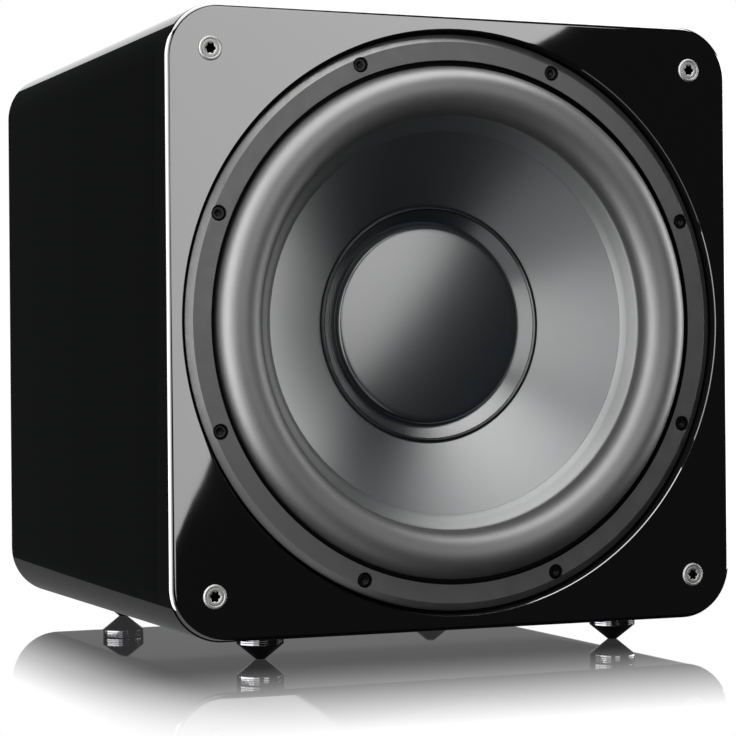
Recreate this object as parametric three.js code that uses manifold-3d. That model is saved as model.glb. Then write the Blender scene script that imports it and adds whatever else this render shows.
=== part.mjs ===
// A 12-inch powered subwoofer: a rounded-square gloss cabinet on four spike feet, one long-throw
// driver in the front, and a plate amplifier in the rear.
//
// Frame: X to the right of someone facing the driver, Y from the front to the back, Z up.
// The origin is on the floor, under the middle of the whole object. Sizes are in millimetres.
// "Depth" is the distance behind the front face. A negative depth stands proud of the face.

import * as THREE from "three";
import { mergeVertices } from "three/addons/utils/BufferGeometryUtils.js";
import Module from "manifold-3d";

const wasm = await Module();
wasm.setup();

// ---------------------------------------------------------------- driving dimensions

const gap = 0.3; // clearance between neighbouring solids

const cabinetWidth = 330;
const cabinetHeight = 330;
const cabinetDepth = 328;
const cornerRadius = 29;
const edgeRound = 2.5;
const wallThickness = 18;
const baffleThickness = 20;
const rearThickness = 18;
const footHeight = 13;

const surroundProud = 7; // how far the surround's crest stands in front of the face
const knobReach = 14; // how far the knobs stand behind the cabinet

const driverZ = footHeight + cabinetHeight / 2;
const frontY = surroundProud - (surroundProud + cabinetDepth + knobReach) / 2;

const driverSegments = 32;
const innerSegments = 20;

// ---------------------------------------------------------------- materials

const finishes = {
  lacquer: { color: 0x0b0b0c, roughness: 0.08, metalness: 0 },
  board: { color: 0x8a6f52, roughness: 0.8, metalness: 0 },
  texturedBlack: { color: 0x161617, roughness: 0.7, metalness: 0 },
  satinFlange: { color: 0x4c4e4d, roughness: 0.45, metalness: 0.6 },
  blackSteel: { color: 0x141414, roughness: 0.4, metalness: 0.9 },
  rubber: { color: 0x2c2d2d, roughness: 0.6, metalness: 0 },
  metallicCone: { color: 0x7d8183, roughness: 0.35, metalness: 0.8 },
  satinNickel: { color: 0xb5b6b4, roughness: 0.3, metalness: 1 },
  blackChrome: { color: 0x1c1c1e, roughness: 0.15, metalness: 1 },
  zincSteel: { color: 0x9a9c9f, roughness: 0.4, metalness: 1 },
  ferrite: { color: 0x2a2a2c, roughness: 0.7, metalness: 0.1 },
  copper: { color: 0xa4572c, roughness: 0.4, metalness: 0.9 },
  kapton: { color: 0x6a4a1c, roughness: 0.5, metalness: 0 },
  spiderCloth: { color: 0xb48a3c, roughness: 0.9, metalness: 0 },
  foam: { color: 0x1b1b1b, roughness: 0.95, metalness: 0 },
  plasticBlack: { color: 0x111112, roughness: 0.5, metalness: 0 },
  circuitBoard: { color: 0x1f4a2c, roughness: 0.6, metalness: 0 },
  aluminium: { color: 0xa9abad, roughness: 0.45, metalness: 1 },
  redPlastic: { color: 0x8c1c16, roughness: 0.5, metalness: 0 },
  lens: { color: 0x3a6a3a, roughness: 0.2, metalness: 0 },
};

const materials = {};
for (const [name, finish] of Object.entries(finishes)) {
  materials[name] = new THREE.MeshStandardMaterial({ name, ...finish });
}

const subwoofer = new THREE.Group();

// Adds one named solid. Its geometry is drawn about the driver's axis, with Y as the depth.
function add(name, geometry, material, x = 0, z = 0, depth = 0) {
  const mesh = new THREE.Mesh(geometry, materials[material]);
  mesh.name = name;
  mesh.position.set(x, frontY + depth, driverZ + z);
  subwoofer.add(mesh);
  return mesh;
}

// ---------------------------------------------------------------- geometry helpers

const point = (x, y) => new THREE.Vector2(x, y);

// A closed geometry with merged vertices, whose faces point out.
function closed(geometry) {
  const bare = geometry.index ? geometry.toNonIndexed() : geometry.clone();
  bare.deleteAttribute("normal");
  bare.deleteAttribute("uv");
  const merged = mergeVertices(bare, 1e-4);
  const place = merged.attributes.position;
  const corners = [];
  for (let i = 0; i < merged.index.count; i += 3) {
    const [a, b, c] = [0, 1, 2].map((k) => merged.index.getX(i + k));
    if (a !== b && b !== c && c !== a) {
      corners.push(a, b, c);
    }
  }
  let volume = 0;
  const [p, q, r] = [new THREE.Vector3(), new THREE.Vector3(), new THREE.Vector3()];
  for (let i = 0; i < corners.length; i += 3) {
    p.fromBufferAttribute(place, corners[i]);
    q.fromBufferAttribute(place, corners[i + 1]);
    r.fromBufferAttribute(place, corners[i + 2]);
    volume += p.dot(q.cross(r));
  }
  if (volume < 0) {
    corners.reverse();
  }
  merged.setIndex(corners);
  merged.computeVertexNormals();
  return merged;
}

function toManifold(geometry) {
  const solid = closed(geometry);
  return new wasm.Manifold(
    new wasm.Mesh({
      numProp: 3,
      vertProperties: new Float32Array(solid.attributes.position.array),
      triVerts: new Uint32Array(solid.index.array),
    }),
  );
}

function fromManifold(manifold) {
  const mesh = manifold.getMesh();
  const geometry = new THREE.BufferGeometry();
  geometry.setAttribute("position", new THREE.BufferAttribute(new Float32Array(mesh.vertProperties), 3));
  geometry.setIndex(new THREE.BufferAttribute(new Uint32Array(mesh.triVerts), 1));
  return closed(geometry);
}

// A body with others joined to it and others cut from it.
function combine(body, joined = [], cut = []) {
  let solid = toManifold(body);
  for (const geometry of joined) {
    solid = solid.add(toManifold(geometry));
  }
  for (const geometry of cut) {
    solid = solid.subtract(toManifold(geometry));
  }
  return fromManifold(solid);
}

// A solid of revolution about the driver's axis from [radius, depth] points.
function turned(profile, segments) {
  const points = profile.map(([radius, depth]) => point(radius, depth));
  const onAxis = profile[0][0] === 0 && profile.at(-1)[0] === 0;
  if (!onAxis) {
    points.push(points[0].clone());
  }
  return closed(new THREE.LatheGeometry(points, segments));
}

function circle(radius, segments, x = 0, z = 0) {
  return Array.from({ length: segments }, (_, i) => {
    const angle = (2 * Math.PI * i) / segments;
    return point(x + radius * Math.cos(angle), z + radius * Math.sin(angle));
  });
}

function roundedRectangle(width, height, radius, cornerSteps = 6, x = 0, z = 0) {
  const points = [];
  for (let corner = 0; corner < 4; corner += 1) {
    const start = (corner * Math.PI) / 2;
    const right = corner === 0 || corner === 3 ? 1 : -1;
    const top = corner < 2 ? 1 : -1;
    for (let step = 0; step <= cornerSteps; step += 1) {
      const angle = start + (step / cornerSteps) * (Math.PI / 2);
      const centreX = x + right * (width / 2 - radius);
      const centreZ = z + top * (height / 2 - radius);
      points.push(point(centreX + radius * Math.cos(angle), centreZ + radius * Math.sin(angle)));
    }
  }
  return points;
}

function rectangle(width, height, x = 0, z = 0) {
  return [
    point(x + width / 2, z + height / 2),
    point(x - width / 2, z + height / 2),
    point(x - width / 2, z - height / 2),
    point(x + width / 2, z - height / 2),
  ];
}

// An outline across X and Z, given thickness from one depth to another.
function plate(outline, holes, fromDepth, toDepth, bevel = 0, bevelSteps = 2) {
  const shape = new THREE.Shape(outline);
  shape.holes = holes.map((hole) => new THREE.Path(hole));
  const geometry = new THREE.ExtrudeGeometry(shape, {
    depth: toDepth - fromDepth - 2 * bevel,
    bevelEnabled: bevel > 0,
    bevelThickness: bevel,
    bevelSize: bevel,
    bevelOffset: -bevel,
    bevelSegments: bevelSteps,
  });
  geometry.rotateX(Math.PI / 2);
  geometry.translate(0, toDepth - bevel, 0);
  return geometry;
}

function block(width, height, fromDepth, toDepth, x = 0, z = 0) {
  return plate(rectangle(width, height, x, z), [], fromDepth, toDepth);
}

// Turns a piece drawn along the depth axis so that it stands along Z, with greater depth higher up.
function upright(geometry) {
  return geometry.rotateX(Math.PI / 2);
}

const around = (count, startDegrees) =>
  Array.from({ length: count }, (_, i) => THREE.MathUtils.degToRad(startDegrees + (360 * i) / count));

// ---------------------------------------------------------------- driver dimensions

const recessRadius = 157;
const recessChamferRadius = 157.5;
const ledgeDepth = 10;
const baffleHoleRadius = 141.5;

const flangeRadius = 154.8;
const flangeBevelRadius = 151.5;
const flangeInnerRadius = 140.5;
const flangeDepth = 2.2;
const flangeBackDepth = 7.7;
const lipLedgeDepth = 7;

const screwCircleRadius = 147.5;
const screwStartDegrees = 22.5;
const screwHeadRadius = 3.5;
const counterboreRadius = 3.9;
const counterboreDepth = 6.2;
const screwShankRadius = 2;
const screwHoleRadius = 2.4;

const rollOuterRadius = 137;
const rollInnerRadius = 112.5;
const rollBaseDepth = 5.6;
const surroundThickness = 1.4;
const coneEdgeRadius = 104; // where the surround's inner lip ends and the bare cone begins
const coneEdgeDepth = 15.2;
const coneSlope = 0.653; // depth gained for each millimetre towards the axis
const coneThickness = 2;
const capRadius = 63.9;
const capCollarRadius = 55.3;
const capApexDepth = 38.5;

const formerRadius = 30.2;
const formerThickness = 0.8;
const poleRadius = 28.4;
const coilRadius = 32.4;
const plateHoleRadius = 33.4;
const topPlateDepth = 100;
const topPlateThickness = 10;
const magnetRadius = 75;
const magnetThickness = 25;
const backPlateThickness = 10;

const magnetDepth = topPlateDepth + topPlateThickness + gap;
const backPlateDepth = magnetDepth + magnetThickness + gap;

const coneDepth = (radius) => coneEdgeDepth + (coneEdgeRadius - radius) * coneSlope;

const screwPlaces = around(8, screwStartDegrees).map((angle) => ({
  x: screwCircleRadius * Math.cos(angle),
  z: screwCircleRadius * Math.sin(angle),
}));

// ---------------------------------------------------------------- feet and grille sockets

const footX = 105.7;
const footFrontDepth = 29.5;
const footRearDepth = 280.5;
const footRimRadius = 12.75;
const footTipRadius = 2.5;
const footConeHeight = 8.3;
const studRadius = 4;
const studBottom = 5;
const studTop = 29;
const insertRadius = 6;
const threadClearance = 0.3;

const footPlaces = [
  { x: -footX, depth: footFrontDepth },
  { x: footX, depth: footFrontDepth },
  { x: -footX, depth: footRearDepth },
  { x: footX, depth: footRearDepth },
];

const socketOffset = 141;
const socketPlaces = [
  { x: -socketOffset, z: socketOffset },
  { x: socketOffset, z: socketOffset },
  { x: -socketOffset, z: -socketOffset },
  { x: socketOffset, z: -socketOffset },
];
const socketRimRadius = 6.4;
const socketBodyRadius = 4.7;
const socketBoreRadius = 3.1;
const socketProud = 1.2;
const socketDepth = 12;
const socketSteps = 16;

// ---------------------------------------------------------------- amplifier dimensions

const rearDepth = cabinetDepth - rearThickness;
const ampWidth = 236;
const ampHeight = 246;
const ampCornerRadius = 6;
const rebateDepth = 4.6;
const cutoutWidth = 214;
const cutoutHeight = 224;
const ampPlateThickness = 3;
const ampFrontDepth = cabinetDepth - ampPlateThickness + gap;
const ampFaceDepth = ampFrontDepth + ampPlateThickness;

const inlet = { x: -62, z: -84, width: 27, height: 46, flangeWidth: 31, flangeHeight: 50 };
const drawer = { width: 22, height: 8, z: inlet.z - 16, reach: 20 };
const rocker = { x: -20, z: -84, width: 13, height: 19, tiltDegrees: 7, pivotDepth: 325 };
const knobRadius = 9;
const knobPlaces = { level_knob: { x: -40, z: 78 }, crossover_knob: { x: 20, z: 78 } };
const sliderPlaces = { phase_slider: { x: 64, z: 86 }, mode_slider: { x: 64, z: 66 } };
const sliderTravel = 4;
const jackPlaces = { input_jack_left: { x: -10, z: 30 }, input_jack_right: { x: 20, z: 30 } };
const lensPlace = { x: 100, z: 98 };
const pillarPlaces = [-88, 88].flatMap((x) => [8, 98].map((z) => ({ x, z })));
const boardDepth = 292;
const boardThickness = 1.6;

// ---------------------------------------------------------------- cabinet

function cabinet() {
  const outline = (steps) => roundedRectangle(cabinetWidth, cabinetHeight, cornerRadius, steps);
  const innerWidth = cabinetWidth - 2 * wallThickness;
  const innerHeight = cabinetHeight - 2 * wallThickness;
  const innerRadius = cornerRadius - wallThickness;
  const cornerSteps = 8;

  const wrapHoles = footPlaces.map(({ x, depth }) => {
    const radius = insertRadius + gap;
    const drill = upright(turned([[0, -1], [radius, -1], [radius, 20], [0, 20]], 16));
    return drill.translate(x, depth, -cabinetHeight / 2);
  });
  const wrap = plate(
    outline(cornerSteps),
    [roundedRectangle(innerWidth, innerHeight, innerRadius, cornerSteps)],
    baffleThickness + gap,
    cabinetDepth,
  );
  add("cabinet_wrap", combine(wrap, [], wrapHoles), "lacquer");

  // The front baffle is rounded over at its front edge only, so its rounded back is cut away.
  const spare = 2 * edgeRound;
  const slab = plate(outline(cornerSteps), [], 0, baffleThickness + spare, edgeRound);
  const recess = turned(
    [
      [0, -1],
      [recessChamferRadius + 1, -1],
      [recessRadius, recessChamferRadius - recessRadius],
      [recessRadius, ledgeDepth],
      [baffleHoleRadius, ledgeDepth],
      [baffleHoleRadius, baffleThickness + 1],
      [0, baffleThickness + 1],
    ],
    driverSegments,
  );
  const pilotHoles = screwPlaces.map(({ x, z }) =>
    plate(circle(screwHoleRadius, 8, x, z), [], ledgeDepth - 1, baffleThickness + 1),
  );
  const socketHoles = socketPlaces.map(({ x, z }) =>
    plate(circle(socketBodyRadius + gap, socketSteps, x, z), [], -1, socketDepth + 2),
  );
  const back = block(cabinetWidth + 10, cabinetHeight + 10, baffleThickness, baffleThickness + spare + 1);
  add("front_baffle", combine(slab, [], [back, recess, ...pilotHoles, ...socketHoles]), "lacquer");

  const inset = (width, radius) => roundedRectangle(width - 2 * gap, width - 2 * gap, radius, 4);
  const panel = plate(inset(innerWidth, innerRadius), [], rearDepth, cabinetDepth);
  const rebate = plate(
    roundedRectangle(ampWidth + 2 * gap, ampHeight + 2 * gap, ampCornerRadius, 3),
    [],
    cabinetDepth - rebateDepth,
    cabinetDepth + 1,
  );
  const cutout = block(cutoutWidth, cutoutHeight, rearDepth - 1, cabinetDepth);
  add("rear_panel", combine(panel, [], [rebate, cutout]), "texturedBlack");

  const braceDepth = 170;
  const windowSize = 122;
  const windowOffset = 70;
  const windows = [-1, 1].flatMap((x) =>
    [-1, 1].map((z) => roundedRectangle(windowSize, windowSize, 16, 3, x * windowOffset, z * windowOffset)),
  );
  const brace = plate(inset(innerWidth, innerRadius), windows, braceDepth, braceDepth + wallThickness);
  add("window_brace", closed(brace), "board");
}

// ---------------------------------------------------------------- feet

function feet() {
  const rimTop = footHeight - gap;
  const boreRadius = studRadius + threadClearance;
  const coneProfile = [
    [0, 0],
    [footTipRadius, 0],
    [footRimRadius, footConeHeight],
    [footRimRadius, rimTop],
    [boreRadius, rimTop],
    [boreRadius, studBottom],
    [0, studBottom],
  ];
  const studProfile = [
    [0, studBottom + gap],
    [studRadius, studBottom + gap],
    [studRadius, studTop],
    [0, studTop],
  ];
  const insertProfile = [
    [boreRadius, footHeight + gap],
    [insertRadius, footHeight + gap],
    [insertRadius, studTop + 1],
    [boreRadius, studTop + 1],
  ];
  footPlaces.forEach(({ x, depth }, i) => {
    const floor = -driverZ;
    add(`foot_cone_${i + 1}`, upright(turned(coneProfile, 16)), "blackChrome", x, floor, depth);
    add(`foot_stud_${i + 1}`, upright(turned(studProfile, 12)), "zincSteel", x, floor, depth);
    add(`foot_insert_${i + 1}`, upright(turned(insertProfile, 12)), "zincSteel", x, floor, depth);
  });
}

// ---------------------------------------------------------------- grille sockets

function grilleSockets() {
  const profile = [
    [0, socketDepth],
    [socketBodyRadius, socketDepth],
    [socketBodyRadius, -gap],
    [socketRimRadius, -gap],
    [socketRimRadius, -socketProud],
    [socketBoreRadius, -socketProud],
    [socketBoreRadius, 9],
    [0, 9],
  ];
  socketPlaces.forEach(({ x, z }, i) => {
    add(`grille_socket_${i + 1}`, turned(profile, socketSteps), "satinNickel", x, z);
  });
}

// ---------------------------------------------------------------- driver

function basket() {
  const rimRadius = 139.5;
  const rimBackDepth = 23;
  const landingDepth = 73.5;
  const landingInner = 79;
  const landingOuter = 88;
  const seatDepth = topPlateDepth - gap;
  const seatInner = 42;
  const seatThickness = 5;
  const profile = [
    [flangeInnerRadius, flangeDepth],
    [flangeBevelRadius, flangeDepth],
    [flangeRadius, flangeDepth + 2.2],
    [flangeRadius, flangeBackDepth],
    [rimRadius, flangeBackDepth],
    [rimRadius, rimBackDepth],
    [landingOuter + 5, landingDepth + 2.5],
    [landingOuter + 5, landingDepth + 6.5],
    [landingInner - 2, seatDepth],
    [seatInner, seatDepth],
    [seatInner, seatDepth - seatThickness],
    [landingInner - 11, seatDepth - seatThickness],
    [landingInner, landingDepth + 6.5],
    [landingInner, landingDepth],
    [landingOuter, landingDepth],
    [rimRadius - 6.5, rimBackDepth - 2],
    [rimRadius - 6.5, lipLedgeDepth],
    [flangeInnerRadius, lipLedgeDepth],
  ];

  // Eight windows leave eight spokes, each in line with a screw.
  const halfWindow = THREE.MathUtils.degToRad(15);
  const steps = 3;
  const windows = around(8, 0).map((middle) => {
    const arc = (radius, side) =>
      Array.from({ length: steps + 1 }, (_, i) => {
        const angle = middle + side * halfWindow * (1 - (2 * i) / steps);
        return point(radius * Math.cos(angle), radius * Math.sin(angle));
      });
    return plate([...arc(60, 1), ...arc(160, -1)], [], rimBackDepth + 4, landingDepth - 4.5);
  });
  const screwHoles = screwPlaces.flatMap(({ x, z }) => [
    plate(circle(screwHoleRadius, 8, x, z), [], flangeDepth - 1, flangeBackDepth + 1),
    plate(circle(counterboreRadius, 12, x, z), [], flangeDepth - 1, counterboreDepth),
  ]);
  const body = turned(profile, driverSegments);
  add("basket", combine(body, [], [...windows, ...screwHoles]), "satinFlange");
}

function driverFixings() {
  const holes = screwPlaces.map(({ x, z }) => circle(screwHoleRadius, 8, x, z));
  const inner = circle(baffleHoleRadius + 0.5, driverSegments);
  const ring = plate(
    circle(flangeRadius, driverSegments),
    [inner, ...holes],
    flangeBackDepth + gap,
    ledgeDepth - gap,
  );
  add("driver_gasket", closed(ring), "foam");

  const headTop = 3.2;
  const headBottom = counterboreDepth - gap;
  const tipDepth = 19;
  const screwProfile = [
    [0, headTop],
    [screwHeadRadius, headTop],
    [screwHeadRadius, headBottom],
    [screwShankRadius, headBottom],
    [screwShankRadius, tipDepth],
    [0, tipDepth],
  ];
  const socket = plate(circle(1.7, 6), [], headTop - 1, headTop + 1.6);
  screwPlaces.forEach(({ x, z }, i) => {
    const screw = combine(turned(screwProfile, 12), [], [socket]);
    add(`driver_screw_${i + 1}`, screw, "blackSteel", x, z);
  });
}

function surround() {
  const middle = (rollOuterRadius + rollInnerRadius) / 2;
  const steps = 6;
  const roll = (inset) =>
    Array.from({ length: steps + 1 }, (_, i) => {
      const angle = (Math.PI * i) / steps;
      const halfWidth = (rollOuterRadius - rollInnerRadius) / 2 - inset;
      const height = rollBaseDepth + surroundProud - inset;
      return [middle + halfWidth * Math.cos(angle), rollBaseDepth - height * Math.sin(angle)];
    });
  const lipBack = lipLedgeDepth - gap;
  const lipOuter = flangeInnerRadius - gap;
  const lipFront = 1.5; // how far the inner lip's front stands in front of the cone
  const grooveRadius = rollInnerRadius - 0.6;
  const profile = [
    [lipOuter, lipBack],
    [lipOuter, rollBaseDepth],
    ...roll(0),
    [grooveRadius, coneDepth(grooveRadius) - lipFront],
    [coneEdgeRadius, coneDepth(coneEdgeRadius) - lipFront],
    [coneEdgeRadius, coneDepth(coneEdgeRadius) - gap],
    [rollInnerRadius + 0.6, coneDepth(rollInnerRadius + 0.6) - gap],
    ...roll(surroundThickness).reverse(),
    [rollOuterRadius - surroundThickness, lipBack],
  ];
  add("surround", turned(profile, driverSegments), "rubber");
}

function movingAssembly() {
  const neckRadius = formerRadius + gap;
  const rimRadius = 110.5;
  const cone = [
    [neckRadius, coneDepth(neckRadius)],
    [rimRadius, coneDepth(rimRadius)],
    [rimRadius, coneDepth(rimRadius) + coneThickness],
    [neckRadius, coneDepth(neckRadius) + coneThickness],
  ];
  add("cone", turned(cone, driverSegments), "metallicCone");

  const shell = 1.2;
  const collarDepth = coneDepth(capCollarRadius) - gap - shell;
  const domeSteps = 4;
  const dome = (offset) =>
    Array.from({ length: domeSteps + 1 }, (_, i) => {
      const radius = (capCollarRadius * i) / domeSteps;
      return [radius, capApexDepth + offset + (collarDepth - capApexDepth) * (i / domeSteps) ** 2];
    });
  const lipRadius = capRadius + 0.7;
  const cap = [
    ...dome(0),
    [lipRadius, coneDepth(lipRadius) - gap - shell],
    [lipRadius, coneDepth(lipRadius) - gap],
    ...dome(shell).reverse(),
  ];
  add("dust_cap", turned(cap, driverSegments), "metallicCone");

  const tube = (inner, outer, from, to) =>
    turned([[inner, from], [outer, from], [outer, to], [inner, to]], innerSegments);
  add("coil_former", tube(formerRadius - formerThickness, formerRadius, 58, 119), "kapton");
  add("voice_coil", tube(formerRadius + gap, coilRadius, 92, 118), "copper");
}

function spider() {
  const neck = formerRadius + 0.6;
  const rollsEnd = 78.4;
  const outer = 87;
  const backDepth = 73.2;
  const thickness = 1;
  const waveHeight = 2.2;
  const waves = Array.from({ length: 6 }, (_, i) => {
    const side = i % 2 ? 1 : -1;
    return [35 + 8 * i, backDepth + side * waveHeight];
  });
  const back = [[neck, backDepth], ...waves, [rollsEnd, backDepth], [outer, backDepth]];
  const front = back.map(([radius, depth]) => [radius, depth - thickness]).reverse();
  add("spider", turned([...back, ...front], innerSegments), "spiderCloth");
}

function motor() {
  const ventRadius = 8;
  const backPlateRadius = 72;
  const ring = (inner, outer, from, thickness) => {
    const to = from + thickness;
    return turned([[inner, from], [outer, from], [outer, to], [inner, to]], innerSegments);
  };
  add("top_plate", ring(plateHoleRadius, 70, topPlateDepth, topPlateThickness), "zincSteel");
  add("magnet", ring(36, magnetRadius, magnetDepth, magnetThickness), "ferrite");
  const poleTop = topPlateDepth - 2;
  const yoke = [
    [ventRadius, poleTop],
    [poleRadius, poleTop],
    [poleRadius, backPlateDepth],
    [backPlateRadius, backPlateDepth],
    [backPlateRadius, backPlateDepth + backPlateThickness],
    [ventRadius, backPlateDepth + backPlateThickness],
  ];
  add("pole_back_plate", turned(yoke, innerSegments), "zincSteel");
}

function wiring() {
  const blockZ = -101;
  const blockDepth = 75;
  const bladeEnd = 90;
  const board = block(24, 14, blockDepth, blockDepth + 6, 0, blockZ);
  const blades = [-6, 6].map((x) => block(5, 1, blockDepth + 5, bladeEnd, x, blockZ - 2));
  add("terminal_block", combine(board, blades), "plasticBlack");

  // Each lead runs back from its blade, through the lower left window of the brace, to the board.
  const leadRadius = 1.8;
  const route = [
    [0, blockZ - 2, bladeEnd + gap],
    [0, blockZ - 5, 106],
    [-14, -116, 128],
    [-34, -110, 152],
    [-46, -92, 180],
    [-52, -64, 214],
    [-56, -28, 246],
    [-58, 4, 268],
    [-58, 18, 282],
    [-58, 20, boardDepth - 2 * gap],
  ];
  const section = new THREE.Shape(circle(leadRadius, 8));
  const lead = (offset) => {
    const points = route.map(([x, z, depth]) => new THREE.Vector3(x + offset, depth, z));
    const path = new THREE.CatmullRomCurve3(points, false, "centripetal");
    const options = { steps: 18, bevelEnabled: false, extrudePath: path };
    return closed(new THREE.ExtrudeGeometry(section, options));
  };
  add("speaker_lead_black", lead(-6), "plasticBlack");
  add("speaker_lead_red", lead(6), "redPlastic");
}

// ---------------------------------------------------------------- amplifier

function amplifierPlate() {
  const outline = roundedRectangle(ampWidth, ampHeight, ampCornerRadius - gap, 3);
  const slots = [
    rectangle(inlet.width + 2 * gap, inlet.height + 2 * gap, inlet.x, inlet.z),
    rectangle(rocker.width + 2 * gap, rocker.height + 2 * gap, rocker.x, rocker.z),
    ...Object.values(knobPlaces).map(({ x, z }) => circle(3.5, 12, x, z)),
    ...Object.values(sliderPlaces).map(({ x, z }) => rectangle(sliderTravel + 4.4, 4.4, x, z)),
    ...Object.values(jackPlaces).map(({ x, z }) => circle(4.7, 12, x, z)),
    circle(2.4, 8, lensPlace.x, lensPlace.z),
  ];
  const face = plate(outline, slots, ampFrontDepth, ampFaceDepth);
  const pillarStart = boardDepth + boardThickness + gap;
  const pillars = pillarPlaces.map(({ x, z }) =>
    plate(circle(3, 8, x, z), [], pillarStart, ampFrontDepth + 1),
  );
  add("amp_plate", combine(face, pillars), "texturedBlack");

  const gasket = plate(
    outline,
    [rectangle(cutoutWidth + 2, cutoutHeight + 2)],
    cabinetDepth - rebateDepth + gap,
    ampFrontDepth - gap,
  );
  add("amp_gasket", closed(gasket), "foam");
}

function amplifierInside() {
  const board = plate(roundedRectangle(196, 112, 3, 1, 0, 53), [], boardDepth, boardDepth + boardThickness);
  add("amp_board", closed(board), "circuitBoard");

  // The heat sink is a comb: fins stand into the cabinet from a base on the plate's inner side.
  const finCount = 9;
  const pitch = 11;
  const finThickness = 3;
  const finTip = 298;
  const finRoot = 319;
  const comb = [];
  for (let i = 0; i < finCount; i += 1) {
    const left = i * pitch;
    comb.push(point(left, finTip), point(left + finThickness, finTip));
    if (i < finCount - 1) {
      comb.push(point(left + finThickness, finRoot), point(left + pitch, finRoot));
    }
  }
  const width = (finCount - 1) * pitch + finThickness;
  comb.push(point(width, ampFrontDepth - gap), point(0, ampFrontDepth - gap));
  const sink = new THREE.ExtrudeGeometry(new THREE.Shape(comb), { depth: 38, bevelEnabled: false });
  sink.translate(-98, 0, -50);
  add("heat_sink", closed(sink), "aluminium");

  const toroid = [
    [12, 288],
    [38, 288],
    [42, 292],
    [42, 320],
    [38, ampFrontDepth - gap],
    [12, ampFrontDepth - gap],
  ];
  add("mains_transformer", turned(toroid, innerSegments), "copper", 54, -58);

  const capacitor = [[0, 246], [14, 246], [15, 248], [15, boardDepth - gap], [0, boardDepth - gap]];
  [30, 66].forEach((x, i) => {
    add(`reservoir_capacitor_${i + 1}`, turned(capacitor, 16), "plasticBlack", x, 60);
  });
}

function mainsInlet() {
  const seat = ampFaceDepth + gap;
  const face = seat + 2.4;
  const recess = { width: 23, height: 15.6, z: inlet.z + 8, floor: face - 16 };
  const flange = plate(
    roundedRectangle(inlet.flangeWidth, inlet.flangeHeight, 3, 2, inlet.x, inlet.z),
    [],
    seat,
    face,
  );
  const body = block(inlet.width, inlet.height, 300, seat + 1, inlet.x, inlet.z);
  const opening = block(recess.width, recess.height, recess.floor, face + 1, inlet.x, recess.z);
  const slotEnd = face - drawer.reach - 1;
  const slot = block(drawer.width + 1, drawer.height + 1, slotEnd, face + 1, inlet.x, drawer.z);
  const hollow = combine(body, [flange], [opening, slot]);
  const pins = [[0, 2.4], [-7, -2], [7, -2]].map(([x, z]) =>
    block(2, 4, recess.floor - 1, face - 5, inlet.x + x, recess.z + z),
  );
  add("mains_inlet", combine(hollow, pins), "plasticBlack");

  const tray = block(drawer.width, drawer.height, face - drawer.reach, face + 1.2, inlet.x, drawer.z);
  const pull = block(drawer.width - 8, 1.6, face + 1, face + 2.4, inlet.x, drawer.z - 2.6);
  const fuseSpace = block(drawer.width - 6, 6, face - drawer.reach + 2, face - 3, inlet.x, drawer.z + 1.5);
  add("fuse_drawer", combine(tray, [pull], [fuseSpace]), "plasticBlack");
}

function powerSwitch() {
  const seat = ampFaceDepth + gap;
  const openingHeight = 17.2;
  const openingWidth = 10.8;
  const flange = plate(roundedRectangle(16, 22, 2, 2, rocker.x, rocker.z), [], seat, seat + 2);
  const body = block(rocker.width, rocker.height, 310, seat + 1, rocker.x, rocker.z);
  const opening = block(openingWidth, openingHeight, 314, seat + 3, rocker.x, rocker.z);
  add("rocker_housing", combine(body, [flange], [opening]), "plasticBlack");

  // The rocker's section is drawn level about its pivot, then tilted to its off position.
  const halfHeight = 7.4;
  const width = openingWidth - 1;
  const section = new THREE.Shape([
    point(6.2, -halfHeight),
    point(4, 0),
    point(6.2, halfHeight),
    point(1, halfHeight),
    point(-7, 3),
    point(-7, -3),
    point(1, -halfHeight),
  ]);
  const shape = new THREE.ExtrudeGeometry(section, { depth: width, bevelEnabled: false });
  shape.translate(0, 0, -width / 2);
  shape.rotateX(Math.PI / 2);
  shape.rotateZ(Math.PI / 2);
  shape.rotateX(THREE.MathUtils.degToRad(-rocker.tiltDegrees));
  add("power_rocker", closed(shape), "plasticBlack", rocker.x, rocker.z, rocker.pivotDepth);
}

function controls() {
  const seat = ampFaceDepth + gap;
  const knobTop = cabinetDepth + knobReach;
  const shaftRadius = 3;
  const knob = [
    [0, 316],
    [shaftRadius, 316],
    [shaftRadius, seat],
    [knobRadius, seat],
    [knobRadius - 1, knobTop - 0.8],
    [knobRadius - 1.8, knobTop],
    [0, knobTop],
  ];
  for (const [name, { x, z }] of Object.entries(knobPlaces)) {
    add(name, turned(knob, 18), "plasticBlack", x, z);
  }

  for (const [name, { x, z }] of Object.entries(sliderPlaces)) {
    const stem = block(3.6, 3.6, 318, 332, -sliderTravel / 2, 0);
    const carriage = block(14, 8, 318, 321, -sliderTravel / 2, 0);
    add(name, combine(stem, [carriage]), "plasticBlack", x, z);
  }

  const jack = [
    [0, 320],
    [1.7, 320],
    [1.7, 338],
    [4.15, 338],
    [4.15, 330.4],
    [6, 330.4],
    [6, seat],
    [4.2, seat],
    [4.2, 312],
    [0, 312],
  ];
  for (const [name, { x, z }] of Object.entries(jackPlaces)) {
    add(name, turned(jack, 16), "satinNickel", x, z);
  }

  const lens = [[0, 330.2], [1.5, 329.8], [1.9, seat], [1.9, 320], [0, 320]];
  add("status_lens", turned(lens, 10), "lens", lensPlace.x, lensPlace.z);
}

cabinet();
feet();
grilleSockets();
basket();
driverFixings();
surround();
movingAssembly();
spider();
motor();
wiring();
amplifierPlate();
amplifierInside();
mainsInlet();
powerSwitch();
controls();

export default subwoofer;
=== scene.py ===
"""Looks of a 12-inch powered subwoofer with a gloss cabinet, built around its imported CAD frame.

Sizes are in millimetres from the driver's axis: x to the right, z up, and depth behind the front face.
The function at() turns them into metres in the frame."""

import math

import bmesh
import bpy
from mathutils import Matrix, Vector

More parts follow.
